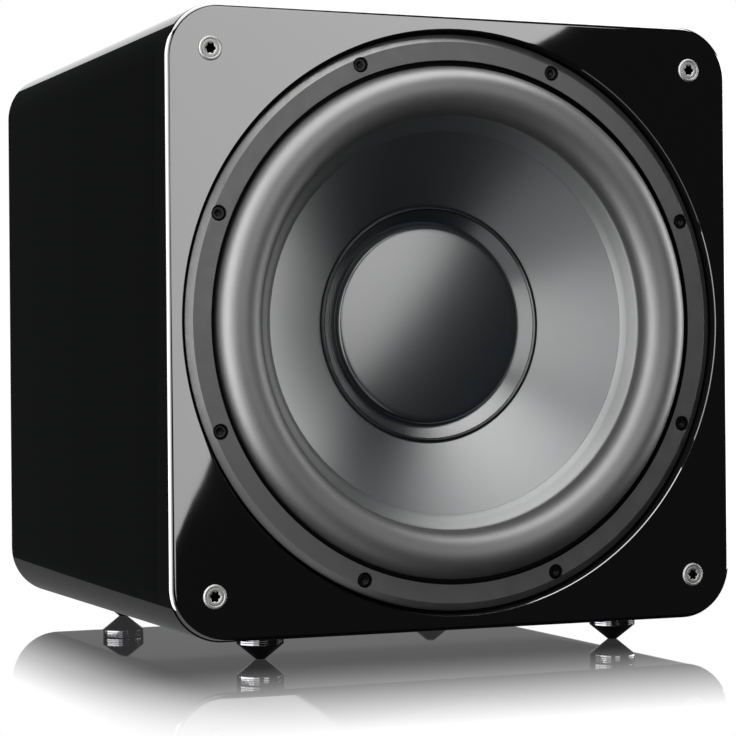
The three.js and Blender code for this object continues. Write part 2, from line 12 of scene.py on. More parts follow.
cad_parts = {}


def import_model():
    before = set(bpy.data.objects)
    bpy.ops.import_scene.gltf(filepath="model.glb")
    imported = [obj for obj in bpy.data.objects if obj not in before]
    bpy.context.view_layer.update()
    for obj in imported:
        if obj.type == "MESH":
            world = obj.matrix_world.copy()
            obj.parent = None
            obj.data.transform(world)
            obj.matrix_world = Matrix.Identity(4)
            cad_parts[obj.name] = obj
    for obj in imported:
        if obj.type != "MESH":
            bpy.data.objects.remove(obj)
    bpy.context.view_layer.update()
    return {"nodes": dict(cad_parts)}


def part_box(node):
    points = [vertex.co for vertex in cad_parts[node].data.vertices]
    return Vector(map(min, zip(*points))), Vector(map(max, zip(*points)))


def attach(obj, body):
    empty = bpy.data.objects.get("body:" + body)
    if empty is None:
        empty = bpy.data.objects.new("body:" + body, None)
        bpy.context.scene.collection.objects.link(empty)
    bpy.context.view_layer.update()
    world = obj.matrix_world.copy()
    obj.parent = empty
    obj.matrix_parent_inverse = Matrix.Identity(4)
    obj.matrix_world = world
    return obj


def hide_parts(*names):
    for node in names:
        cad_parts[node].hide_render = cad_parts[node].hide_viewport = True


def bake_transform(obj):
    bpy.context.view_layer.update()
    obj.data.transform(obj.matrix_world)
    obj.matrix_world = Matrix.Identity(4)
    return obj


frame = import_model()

# ---------------------------------------------------------------- sizes taken from the frame

MM = 0.001
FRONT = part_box("front_baffle")[0].y
BOX_LOW, BOX_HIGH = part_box("cabinet_wrap")
AXIS_Z = (BOX_LOW.z + BOX_HIGH.z) / 2
WIDTH = (BOX_HIGH.x - BOX_LOW.x) / MM
DEPTH = (BOX_HIGH.y - FRONT) / MM
FLOOR = -AXIS_Z / MM

CORNER = 29.0
WALL = 18.0
JOIN = 20.15  # depth where the baffle meets the wrap
ROUND = 256  # points round the driver's large circles


def middle(node):
    """The middle of a CAD node, as x, z and depth in millimetres."""
    low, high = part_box(node)
    centre = (low + high) / 2
    return centre.x / MM, (centre.z - AXIS_Z) / MM, (centre.y - FRONT) / MM


def reach(node):
    """The nearest and farthest depth of a CAD node."""
    low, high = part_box(node)
    return (low.y - FRONT) / MM, (high.y - FRONT) / MM


def across(node):
    """The width and height of a CAD node."""
    low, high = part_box(node)
    return (high.x - low.x) / MM, (high.z - low.z) / MM


def at(x, z, depth):
    return Vector((x * MM, FRONT + depth * MM, AXIS_Z + z * MM))


def add(name, data):
    """A new object in the scene."""
    made = bpy.data.objects.new(name, data)
    bpy.context.scene.collection.objects.link(made)
    return made


# ---------------------------------------------------------------- camera

CAMERA_PLACE = Vector((-0.53754, -1.32406, 0.15188))
CAMERA_AZIMUTH = math.radians(22.661)
CAMERA_RISE = math.radians(0.093)
CAMERA_ROLL = math.radians(-0.49)
FOCAL_LENGTH = 116.15


def make_camera():
    data = bpy.data.cameras.new("camera")
    data.lens = FOCAL_LENGTH
    data.clip_end = 50
    camera = add("camera", data)
    turn = Matrix.Rotation(-CAMERA_AZIMUTH, 3, "Z")
    tilt = Matrix.Rotation(math.pi / 2 + CAMERA_RISE, 3, "X")
    roll = Matrix.Rotation(CAMERA_ROLL, 3, "Z")
    camera.matrix_world = Matrix.Translation(CAMERA_PLACE) @ (turn @ tilt @ roll).to_4x4()
    bpy.context.scene.camera = camera


# ---------------------------------------------------------------- mesh helpers


def new_piece(name, points, faces):
    mesh = bpy.data.meshes.new(name)
    mesh.from_pydata(points, [], faces)
    piece = add(name, mesh)
    tidy_mesh(piece)
    return piece


def tidy_mesh(piece, merge=1e-7):
    """Welds points that coincide and turns every face outward."""
    work = bmesh.new()
    work.from_mesh(piece.data)
    bmesh.ops.remove_doubles(work, verts=work.verts, dist=merge)
    bmesh.ops.recalc_face_normals(work, faces=work.faces)
    work.to_mesh(piece.data)
    work.free()


def loft(name, loops, closed=True):
    """A skin through loops of equal length. A loop of one point is a pole."""
    points, rings, faces = [], [], []
    for loop in loops:
        rings.append(range(len(points), len(points) + len(loop)))
        points.extend(loop)
    pairs = list(zip(rings, rings[1:]))
    if closed:
        pairs.append((rings[-1], rings[0]))
    for first, second in pairs:
        count = max(len(first), len(second))
        if count == 1:
            continue
        for i in range(count):
            k = (i + 1) % count
            if len(first) == 1:
                faces.append((first[0], second[i], second[k]))
            elif len(second) == 1:
                faces.append((first[i], second[0], first[k]))
            else:
                faces.append((first[i], second[i], second[k], first[k]))
    return new_piece(name, points, faces)


def eased(profile, closed=True, steps=4):
    """A profile whose corners become arcs where a point holds a third value, the arc's radius."""
    made = []
    count = len(profile)
    for i, corner in enumerate(profile):
        here = Vector(corner[:2])
        radius = corner[2] if len(corner) > 2 else 0
        if not radius or (not closed and i in (0, count - 1)):
            made.append(here)
            continue
        back = Vector(profile[i - 1][:2]) - here
        ahead = Vector(profile[(i + 1) % count][:2]) - here
        half = back.angle(ahead) / 2
        length = min(radius / math.tan(half), 0.48 * back.length, 0.48 * ahead.length)
        radius = length * math.tan(half)
        centre = here + (back.normalized() + ahead.normalized()).normalized() * (radius / math.sin(half))
        start = here + back.normalized() * length - centre
        end = here + ahead.normalized() * length - centre
        sweep = math.atan2(start.x * end.y - start.y * end.x, start.dot(end))
        for step in range(steps + 1):
            angle = sweep * step / steps
            cos, sin = math.cos(angle), math.sin(angle)
            made.append(centre + Vector((start.x * cos - start.y * sin, start.x * sin + start.y * cos)))
    return [(p.x, p.y) for p in made]


def revolved(name, profile, segments, steps, place, shape=None):
    """A solid of revolution from (radius, height, rounding) points. place(a, b, height) is a point, from its
    offsets across the axis. shape(angle, radius, height) may change a radius, for flutes and lobes."""
    on_axis = profile[0][0] == 0 and profile[-1][0] == 0
    loops = []
    for radius, height in eased(profile, closed=not on_axis, steps=steps):
        if radius < 1e-6:
            loops.append([place(0, 0, height)])
            continue
        loop = []
        for i in range(segments):
            angle = 2 * math.pi * i / segments
            r = shape(angle, radius, height) if shape else radius
            loop.append(place(r * math.cos(angle), r * math.sin(angle), height))
        loops.append(loop)
    return loft(name, loops, closed=not on_axis)


def turned(name, profile, segments=96, centre=(0, 0), shape=None, steps=4):
    """A solid turned about an axis that runs front to back. Its heights are depths."""
    x, z = centre
    return revolved(name, profile, segments, steps, lambda a, b, depth: at(x + a, z + b, depth), shape)


def stood_up(name, profile, x, depth, segments=64, steps=4):
    """A solid turned about an upright axis. Its heights are above the floor."""
    return revolved(name, profile, segments, steps, lambda a, b, height: at(x + a, FLOOR + height, depth + b))


def circle(radius, count=48, x=0, z=0):
    angles = [2 * math.pi * i / count for i in range(count)]
    return [(x + radius * math.cos(a), z + radius * math.sin(a)) for a in angles]


def rectangle(width, height, x=0, z=0, corner=0.0, steps=6):
    """The outline of a rectangle with round corners, counter-clockwise."""
    points = []
    for quarter in range(4):
        right = 1 if quarter in (0, 3) else -1
        top = 1 if quarter < 2 else -1
        centre_x = x + right * (width / 2 - corner)
        centre_z = z + top * (height / 2 - corner)
        for step in range(steps + 1) if corner else (0,):
            angle = (quarter + step / steps) * math.pi / 2
            points.append((centre_x + corner * math.cos(angle), centre_z + corner * math.sin(angle)))
    return points


def applied(thing):
    """The mesh of an object with its modifiers or its curve's settings applied."""
    graph = bpy.context.evaluated_depsgraph_get()
    return bpy.data.meshes.new_from_object(thing.evaluated_get(graph))


def from_curve(name, curve, place):
    """A mesh piece made from a curve and moved to its place."""
    holder = add(name, curve)
    mesh = applied(holder)
    bpy.data.objects.remove(holder)
    mesh.transform(place)
    mesh.materials.clear()
    piece = add(name, mesh)
    tidy_mesh(piece)
    return piece


def plate(name, outlines, near, far, round_edge=0.0):
    """A plate between two depths. The first outline is its rim and the others are holes, with round edges."""
    curve = bpy.data.curves.new(name, "CURVE")
    curve.dimensions = "2D"
    curve.fill_mode = "BOTH"
    curve.extrude = (far - near) / 2 - round_edge
    curve.bevel_depth = round_edge
    curve.bevel_resolution = 3
    curve.offset = -round_edge
    for i, outline in enumerate(outlines):
        spline = curve.splines.new("POLY")
        spline.points.add(len(outline) - 1)
        for place, (x, z) in zip(spline.points, outline if i == 0 else outline[::-1]):
            place.co = (x, z, 0, 1)
        spline.use_cyclic_u = True
    place = Matrix.Translation(at(0, 0, (near + far) / 2)) @ Matrix.Rotation(math.pi / 2, 4, "X")
    return from_curve(name, curve, place @ Matrix.Scale(MM, 4))


def tube(name, points, radius, resolution=8):
    """A round lead along a smooth line through the points."""
    curve = bpy.data.curves.new(name, "CURVE")
    curve.dimensions = "3D"
    curve.bevel_depth = radius * MM
    curve.bevel_resolution = 4
    curve.use_fill_caps = True
    curve.resolution_u = resolution
    spline = curve.splines.new("BEZIER")
    spline.bezier_points.add(len(points) - 1)
    for place, point in zip(spline.bezier_points, points):
        place.co = at(*point)
        place.handle_left_type = "AUTO"
        place.handle_right_type = "AUTO"
    return from_curve(name, curve, Matrix())


def joined(name, pieces):
    """One piece made of several closed bodies."""
    work = bmesh.new()
    for piece in pieces:
        work.from_mesh(piece.data)
        bpy.data.objects.remove(piece)
    mesh = bpy.data.meshes.new(name)
    work.to_mesh(mesh)
    work.free()
    return add(name, mesh)


def cut(piece, cutters):
    """Takes the cutters out of a piece."""
    cutter = joined("cutter", cutters)
    modifier = piece.modifiers.new("cut", "BOOLEAN")
    modifier.operation = "DIFFERENCE"
    modifier.solver = "EXACT"
    modifier.object = cutter
    mesh = applied(piece)
    piece.modifiers.clear()
    piece.data = mesh
    bpy.data.objects.remove(cutter)
    tidy_mesh(piece)


def smooth(piece, sharp=35, weighted=True):
    """Soft shading, with an edge kept wherever two faces meet at more than the sharp angle."""
    piece.data.shade_smooth()
    piece.data.set_sharp_from_angle(angle=math.radians(sharp))
    if weighted:
        modifier = piece.modifiers.new("normals", "WEIGHTED_NORMAL")
        modifier.keep_sharp = True
        modifier.weight = 90


def paint(piece, material, where):
    """Gives the faces whose centre passes the test another material."""
    piece.data.materials.append(material)
    index = len(piece.data.materials) - 1
    for face in piece.data.polygons:
        place = face.center
        x, z, depth = place.x / MM, (place.z - AXIS_Z) / MM, (place.y - FRONT) / MM
        if where(x, z, depth):
            face.material_index = index


def put(piece, material, body="root", replaces=(), sharp=35):
    """Shades a piece, gives it its material, and lets it ride on a body and stand for CAD nodes."""
    if sharp:
        smooth(piece, sharp)
    if not piece.data.materials:
        piece.data.materials.append(material)
    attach(piece, body)
    if replaces:
        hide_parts(*replaces)


# ---------------------------------------------------------------- materials


class Shader:
    """A node material with a Principled shader and short calls for its usual patterns."""

    def __init__(self, name, colour, roughness, metallic=0.0, specular=0.5):
        self.material = bpy.data.materials.new(name)
        self.material.use_nodes = True
        self.tree = self.material.node_tree
        self.shader = self.tree.nodes["Principled BSDF"]
        self.place = self.node("ShaderNodeTexCoord").outputs["Object"]
        self.height = None
        self.set(Metallic=metallic, Roughness=roughness, Specular_IOR_Level=specular, Base_Color=(*colour, 1))
        self.colour = colour
        self.roughness = roughness

    def node(self, kind, **values):
        node = self.tree.nodes.new(kind)
        for key, value in values.items():
            setattr(node, key, value)
        return node

    def link(self, source, target):
        self.tree.links.new(source, target)

    def set(self, **values):
        for key, value in values.items():
            self.shader.inputs[key.replace("_", " ")].default_value = value

    def math(self, operation, *values):
        node = self.node("ShaderNodeMath", operation=operation)
        for socket, value in zip(node.inputs, values):
            if isinstance(value, (int, float)):
                socket.default_value = value
            else:
                self.link(value, socket)
        return node.outputs[0]

    def noise(self, size, detail=2.0, stretch=(1, 1, 1)):
        """Noise whose features are about size millimetres across."""
        mapping = self.node("ShaderNodeMapping")
        mapping.inputs["Scale"].default_value = [s / (size * MM) for s in stretch]
        self.link(self.place, mapping.inputs["Vector"])
        noise = self.node("ShaderNodeTexNoise")
        noise.inputs["Scale"].default_value = 1
        noise.inputs["Detail"].default_value = detail
        self.link(mapping.outputs[0], noise.inputs["Vector"])
        return noise.outputs["Fac"]

    def cells(self, size, feature="F1"):
        texture = self.node("ShaderNodeTexVoronoi", feature=feature)
        texture.inputs["Scale"].default_value = 1 / (size * MM)
        self.link(self.place, texture.inputs["Vector"])
        return texture.outputs["Distance"]

    def radius(self, x=0, z=0):
        """Distance from an axis that runs front to back, in millimetres."""
        shift = self.node("ShaderNodeVectorMath", operation="SUBTRACT")
        shift.inputs[1].default_value = at(x, z, 0)
        self.link(self.place, shift.inputs[0])
        parts = self.node("ShaderNodeSeparateXYZ")
        self.link(shift.outputs[0], parts.inputs[0])
        across = self.math("MULTIPLY", parts.outputs["X"], parts.outputs["X"])
        upward = self.math("MULTIPLY", parts.outputs["Z"], parts.outputs["Z"])
        return self.math("MULTIPLY", self.math("SQRT", self.math("ADD", across, upward)), 1 / MM)

    def between(self, fac, low, high):
        """fac's usual spread mapped onto a range of values."""
        node = self.node("ShaderNodeMapRange")
        for name, value in (("From Min", 0.3), ("From Max", 0.7), ("To Min", low), ("To Max", high)):
            node.inputs[name].default_value = value
        self.link(fac, node.inputs["Value"])
        return node.outputs[0]

    def tint(self, fac, dark, light, low=0.3, high=0.7):
        """Colour that runs from the base colour times dark to it times light, or between two colours."""
        ramp = self.node("ShaderNodeValToRGB")
        ends = [
            c if isinstance(c, tuple) else tuple(part * c for part in self.colour) for c in (dark, light)
        ]
        for stop, place, colour in zip(ramp.color_ramp.elements, (low, high), ends):
            stop.position = place
            stop.color = (*colour, 1)
        self.link(fac, ramp.inputs["Fac"])
        self.link(ramp.outputs["Color"], self.shader.inputs["Base Color"])

    def vary(self, fac, spread):
        """Roughness that changes by spread either way."""
        varied = self.between(fac, self.roughness - spread, self.roughness + spread)
        self.link(varied, self.shader.inputs["Roughness"])

    def bump(self, fac, height, strength=1.0):
        """Relief of a height in millimetres. Later calls lie on top of earlier ones."""
        node = self.node("ShaderNodeBump")
        node.inputs["Strength"].default_value = strength
        node.inputs["Distance"].default_value = height * MM
        self.link(fac, node.inputs["Height"])
        if self.height is not None:
            self.link(self.height, node.inputs["Normal"])
        self.height = node.outputs["Normal"]
        self.link(self.height, self.shader.inputs["Normal"])


def grained(name, colour, roughness, metallic=0.0, specular=0.5, grain=0.5, relief=0.02, mottle=18,
            spread=0.05, shade=0.12):
    """A moulded, cast or plated finish: slow mottling, uneven sheen and a fine grain."""
    made = Shader(name, colour, roughness, metallic, specular)
    made.tint(made.noise(mottle, 3), 1 - shade, 1 + shade)
    made.vary(made.noise(mottle / 3, 4), spread)
    made.bump(made.noise(grain, 3), relief)
    return made.material


def lacquer():
    made = Shader("gloss_lacquer", (0.0001, 0.0001, 0.0001), 0.03)
    made.set(IOR=1.5)
    made.vary(made.noise(60, 2), 0.008)
    made.bump(made.noise(26, 1), 0.004)
    return made.material


def board():
    made = Shader("raw_board", (0.36, 0.23, 0.13), 0.85)
    made.tint(made.noise(0.9, 5), 0.75, 1.2)
    made.bump(made.noise(0.5, 4), 0.12)
    return made.material


def rear_texture():
    made = Shader("rear_texture", (0.016, 0.016, 0.017), 0.62)
    made.tint(made.noise(9, 3), 0.8, 1.25)
    made.bump(made.cells(1.3), 0.18, 0.6)
    made.bump(made.noise(0.5, 3), 0.05)
    return made.material


def amp_coating():
    made = Shader("amp_coating", (0.014, 0.014, 0.015), 0.48)
    made.tint(made.noise(14, 3), 0.85, 1.2)
    made.vary(made.noise(4, 4), 0.06)
    made.bump(made.noise(0.45, 2), 0.05)
    return made.material


def turned_metal(name, colour, roughness, centre=(0, 0), pitch=0.35, relief=0.004):
    """Metal with the fine rings that a lathe leaves."""
    made = Shader(name, colour, roughness, metallic=1.0)
    made.tint(made.noise(5, 4), 0.9, 1.08)
    made.vary(made.noise(1.5, 4), 0.05)
    rings = made.math("SINE", made.math("MULTIPLY", made.radius(*centre), 2 * math.pi / pitch))
    made.bump(rings, relief)
    return made.material


def spider_cloth():
    """Cloth stiffened with resin: threads along x and z, darker where the resin is thick."""
    made = Shader("spider_cloth", (0.42, 0.27, 0.08), 0.75)
    parts = made.node("ShaderNodeSeparateXYZ")
    made.link(made.place, parts.inputs[0])
    thread = 2 * math.pi / (0.9 * MM)
    warp = made.math("SINE", made.math("MULTIPLY", parts.outputs["X"], thread))
    weft = made.math("SINE", made.math("MULTIPLY", parts.outputs["Z"], thread))
    made.tint(made.noise(12, 4), 0.7, 1.2)
    made.bump(made.math("MULTIPLY", warp, weft), 0.12)
    return made.material


def wound_copper():
    made = Shader("copper", (0.62, 0.24, 0.09), 0.32, metallic=1.0)
    parts = made.node("ShaderNodeSeparateXYZ")
    made.link(made.place, parts.inputs[0])
    turns = made.math("SINE", made.math("MULTIPLY", parts.outputs["Y"], 2 * math.pi / (0.6 * MM)))
    made.tint(made.noise(6, 3), 0.85, 1.1)
    made.bump(turns, 0.12)
    return made.material


def circuit_board():
    made = Shader("circuit_board", (0.012, 0.09, 0.035), 0.35)
    made.tint(made.cells(6, "DISTANCE_TO_EDGE"), (0.02, 0.13, 0.05), (0.01, 0.075, 0.03), 0.04, 0.06)
    made.bump(made.noise(1.2, 2), 0.02)
    return made.material


def status_lens():
    made = Shader("lens", (0.05, 0.16, 0.42), 0.12)
    made.tint(made.noise(1, 2), 0.85, 1.15)
    made.set(Coat_Weight=1.0, Emission_Color=(0.1, 0.4, 1.0, 1), Emission_Strength=0.6)
    return made.material


LACQUER = lacquer()
BOARD = board()
REAR = rear_texture()
AMP = amp_coating()
FLANGE = grained("flange_metal", (0.0035, 0.0037, 0.0035), 0.46, specular=0.28, grain=0.55, relief=0.03)
BEVEL = grained("flange_bevel", (0.0045, 0.0046, 0.0044), 0.32, specular=0.5, grain=0.55, relief=0.012)
RUBBER = grained("surround_rubber", (0.003, 0.003, 0.003), 0.48, specular=0.42, grain=0.7, relief=0.05,
                 spread=0.015, shade=0.08)
LIP = grained("surround_lip", (0.003, 0.0034, 0.0036), 0.38, specular=0.42, grain=0.3, relief=0.01,
              spread=0.01, shade=0.05)
SATIN = {"grain": 0.25, "relief": 0.002, "shade": 0.05, "spread": 0.004, "mottle": 60}
CONE = grained("cone_metallic", (0.0010, 0.0015, 0.0020), 0.34, specular=0.58, **SATIN)
CAP = grained("cap_metallic", (0.0010, 0.0015, 0.0020), 0.24, specular=0.50, **SATIN)
BEAD = grained("bead_black", (0.0008, 0.0008, 0.0008), 0.30, specular=0.14, grain=0.6, relief=0.006)
FOAM = grained("foam_seal", (0.012, 0.012, 0.012), 0.95, grain=0.8, relief=0.3)
FERRITE = grained("ferrite", (0.035, 0.035, 0.038), 0.62, grain=0.5, relief=0.06)
ZINC = grained("zinc_steel", (0.56, 0.57, 0.60), 0.34, metallic=1.0, grain=0.6, relief=0.008, mottle=7)
SCREW = grained("black_steel", (0.0006, 0.0006, 0.0006), 0.22, specular=0.04, grain=0.3, relief=0.006,
                mottle=3)
CHROME = grained("black_chrome", (0.045, 0.045, 0.047), 0.12, metallic=1.0, grain=0.4, relief=0.002, mottle=9)
PLASTIC = grained("black_plastic", (0.010, 0.010, 0.011), 0.42, grain=0.3, relief=0.012)
GRIP = grained("knob_plastic", (0.012, 0.012, 0.013), 0.55, grain=0.2, relief=0.015)
RED = grained("red_plastic", (0.42, 0.018, 0.012), 0.38, grain=0.4, relief=0.008)
WHITE = grained("white_plastic", (0.62, 0.62, 0.60), 0.40, grain=0.4, relief=0.006)
MARK = grained("printed_mark", (0.55, 0.55, 0.54), 0.55, grain=0.2, relief=0.004)
ALUMINIUM = grained("bare_aluminium", (0.60, 0.61, 0.62), 0.36, metallic=1.0, grain=0.5, relief=0.01)
FILM = grained("former_film", (0.20, 0.10, 0.025), 0.30, grain=1.5, relief=0.008)
SLEEVE = grained("capacitor_sleeve", (0.010, 0.014, 0.030), 0.26, grain=1.5, relief=0.004)
TAPE = grained("transformer_tape", (0.42, 0.33, 0.05), 0.36, grain=3.0, relief=0.05, mottle=9)
# Painted shade: a flat black with almost no sheen, put on recess walls, bores and gaps where shade falls.
PAINTED_SHADE = grained("painted_shade_black", (0.0008, 0.0008, 0.0008), 0.85, specular=0.02, grain=0.4, relief=0.02)
CLOTH = spider_cloth()
COPPER = wound_copper()
PCB = circuit_board()
LENS = status_lens()

# ---------------------------------------------------------------- cabinet


def outline(inset, depth, straight=40, arc=16):
    """The cabinet's outline, inset by a distance, with the same count of points at any inset."""
    half = WIDTH / 2 - inset
    corner = CORNER - inset
    points = []
    for quarter in range(4):
        centre = half - corner
        turn = quarter * math.pi / 2
        side = [(half, -centre + 2 * centre * i / straight) for i in range(straight)]
        angles = [math.pi / 2 * i / arc for i in range(arc)]
        bend = [(centre + corner * math.cos(a), centre + corner * math.sin(a)) for a in angles]
        cos, sin = math.cos(turn), math.sin(turn)
        points += [at(x * cos - z * sin, x * sin + z * cos, depth) for x, z in side + bend]
    return points


def ring_facing(rim, radius, depth):
    """A circle about the axis whose points lie in the same directions as those of a rim."""
    points = []
    for place in rim:
        angle = math.atan2(place.z - AXIS_Z, place.x)
        points.append(at(radius * math.cos(angle), radius * math.sin(angle), depth))
    return points


EDGE = 2.5
EDGE_FALL = 0.05  # the polished face drops this far towards its edges
FALL_REACH = 12.0
RECESS_MOUTH = 157.5
RECESS_WALL = RECESS_MOUTH - 0.4
RECESS_FLOOR = 10
DRIVER_OPENING = 141.5


def face_loops():
    """The flat face between the outer edge and the recess, with a slight fall at both."""
    rim = outline(EDGE, 0)
    mouth = ring_facing(rim, RECESS_MOUTH + 0.5, 0)
    shares = [0, 0.02, 0.05, 0.09, 0.14, 0.2, 0.28, 0.38, 0.5, 0.62, 0.74, 0.84, 0.92, 0.97, 1]
    loops = []
    for share in shares:
        loop = []
        for outer, inner in zip(rim, mouth):
            place = outer.lerp(inner, share)
            x, z = place.x / MM, (place.z - AXIS_Z) / MM
            span = (inner - outer).length / MM
            from_rim = min(WIDTH / 2 - EDGE - max(abs(x), abs(z)), share * span)
            from_mouth = (1 - share) * span
            fall = sum(EDGE_FALL * max(0, 1 - gap / FALL_REACH) ** 2 for gap in (from_rim, from_mouth))
            loop.append(at(x, z, fall))
        loops.append(loop)
    return loops


def cabinet():
    """The lacquered front board and walls, and the textured board at the back."""
    turns = [math.pi / 2 * i / 6 for i in range(7)]
    round_over = [outline(EDGE * (1 - math.cos(t)), EDGE_FALL + EDGE * (1 - math.sin(t))) for t in turns[:-1]]
    rim = outline(0, 0)
    recess = eased(
        [
            (RECESS_MOUTH + 2, 0.0),
            (RECESS_MOUTH, 0.06, 0.1),
            (RECESS_WALL, 0.46, 0.1),
            (RECESS_WALL, RECESS_FLOOR, 0.3),
            (DRIVER_OPENING, RECESS_FLOOR, 0.3),
            (DRIVER_OPENING, JOIN),
        ],
        closed=False,
    )[1:]
    loops = [outline(0, JOIN), outline(0, EDGE + 1.2), *round_over, *face_loops()]
    loops += [ring_facing(rim, radius, depth) for radius, depth in recess]
    baffle = loft("front_baffle_gloss", loops)
    corner = abs(middle("grille_socket_1")[0])
    sockets = [(x, z) for z in (corner, -corner) for x in (-corner, corner)]
    drills = [turned("drill", [(0, -1), (5, -1), (5, 30), (0, 30)], 32, place) for place in sockets]
    pilots = [turned("drill", [(0, 9), (2.4, 9), (2.4, 30), (0, 30)], 24, place) for place in screw_places()]
    cut(baffle, drills + pilots)
    baffle.data.materials.append(LACQUER)
    # Painted shade: the recess walls and floor behind the face are painted black.
    paint(baffle, PAINTED_SHADE, lambda x, z, d: d > 0.4 and math.hypot(x, z) < RECESS_MOUTH)
    paint(baffle, BOARD, lambda x, z, d: d > JOIN - 0.1 or (d > 10.4 and math.hypot(x, z) < 150))
    put(baffle, LACQUER, replaces=["front_baffle"])

    walls = [(0, JOIN), (0, JOIN + 8), (0, DEPTH - 3)]
    walls += [(1.2 * (1 - math.cos(t)), DEPTH - 1.2 + 1.2 * math.sin(t)) for t in turns]
    walls += [(1.6, DEPTH), (WALL - 0.4, DEPTH), (WALL, DEPTH - 0.4), (WALL, JOIN)]
    wrap = loft("cabinet_wrap_gloss", [outline(inset, depth) for inset, depth in walls])
    bores = [
        stood_up("bore", [(0, 12), (6.2, 12), (6.2, 34), (0, 34)], x, d, 32)
        for x, _, d in (middle(f"foot_insert_{i}") for i in range(1, 5))
    ]
    cut(wrap, bores)
    wrap.data.materials.append(LACQUER)
    paint(wrap, BOARD, lambda x, z, d: max(abs(x), abs(z)) < WIDTH / 2 - WALL + 0.5 or d < JOIN + 0.1)
    put(wrap, LACQUER, replaces=["cabinet_wrap"])

    near, far = reach("rear_panel")
    inner = WIDTH - 2 * WALL - 0.6
    amp_width, amp_height = across("amp_plate")
    border = rectangle(inner, inner, corner=CORNER - WALL)
    window = rectangle(amp_width - 22, amp_height - 22, corner=1)
    panel = plate("rear_panel_textured", [border, window], near, far, 0.7)
    rebate = plate("rebate", [rectangle(amp_width + 0.6, amp_height + 0.6, corner=6)], far - 4.6, far + 2)
    cut(panel, [rebate])
    put(panel, REAR, replaces=["rear_panel"])


# ---------------------------------------------------------------- feet and grille sockets


def feet():
    for i in range(1, 5):
        x, _, depth = middle(f"foot_cone_{i}")
        grooves = []
        for height in (9.5, 10.5, 11.5):
            grooves += [(12.75, height - 0.2, 0.05), (12.62, height, 0.05), (12.75, height + 0.2, 0.05)]
        profile = [(0, 0), (2.5, 0, 0.7), (12.75, 8.3, 0.35), *grooves]
        profile += [(12.75, 12.7, 0.3), (4.3, 12.7, 0.2), (4.3, 5, 0.2), (0, 5)]
        cone = stood_up(f"foot_cone_grooved_{i}", profile, x, depth, 80)
        put(cone, CHROME, f"foot_cone_{i}", [f"foot_cone_{i}"], 30)

        thread = []
        for turn in range(19):
            height = 6.4 + 1.15 * turn
            thread += [(3.55, height, 0.1), (4.0, height + 0.57, 0.1)]
        profile = [(0, 5.3), (3.4, 5.3, 0.3), *thread, (3.3, 29, 0.3), (0, 29)]
        stud = stood_up(f"foot_stud_threaded_{i}", profile, x, depth, 32)
        put(stud, ZINC, f"foot_stud_{i}", [f"foot_stud_{i}"], 40)

        profile = [(4.3, 13.3, 0.2), (6.0, 13.3, 0.3)]
        for groove in (18.6, 24.6):
            profile += [(6.0, groove - 0.6, 0.2), (5.6, groove, 0.2), (6.0, groove + 0.6, 0.2)]
        profile += [(6.0, 30, 0.3), (4.3, 30, 0.2)]
        insert = stood_up(f"foot_insert_turned_{i}", profile, x, depth, 48)
        put(insert, ZINC, replaces=[f"foot_insert_{i}"], sharp=40)


def six_lobes(angle, radius, depth):
    """Radii inside the socket's bore follow a six-lobed outline."""
    if radius > 3.2:
        return radius
    return radius - 0.33 + 0.33 * math.cos(6 * angle + 0.4)


def grille_sockets():
    profile = [(0, 9.0), (2.9, 9.0), (2.9, -0.6, 0.2), (3.3, -0.95, 0.25), (4.3, -0.95, 0.3)]
    profile += [(4.75, -0.8, 0.25), (5.2, -1.15, 0.3), (5.8, -1.15, 0.4), (6.4, -0.5, 0.3), (6.4, -0.05, 0.1)]
    profile += [(4.7, -0.05), (4.7, 12, 0.3), (0, 12)]
    for i in range(1, 5):
        x, z, _ = middle(f"grille_socket_{i}")
        socket = turned(f"grille_socket_lobed_{i}", profile, 96, (x, z), six_lobes)
        nickel = turned_metal(f"satin_nickel_{i}", (0.080, 0.080, 0.079), 0.52, (x, z))
        socket.data.materials.append(nickel)
        # Painted shade: the bore inside each socket is painted black.
        paint(socket, PAINTED_SHADE, lambda px, pz, d: d > -0.2 and math.hypot(px - x, pz - z) < 3.4)
        put(socket, nickel, replaces=[f"grille_socket_{i}"], sharp=40)


# ---------------------------------------------------------------- driver


def screw_places():
    return [middle(f"driver_screw_{i}")[:2] for i in range(1, 9)]


FLANGE_DEPTH = reach("basket")[0]


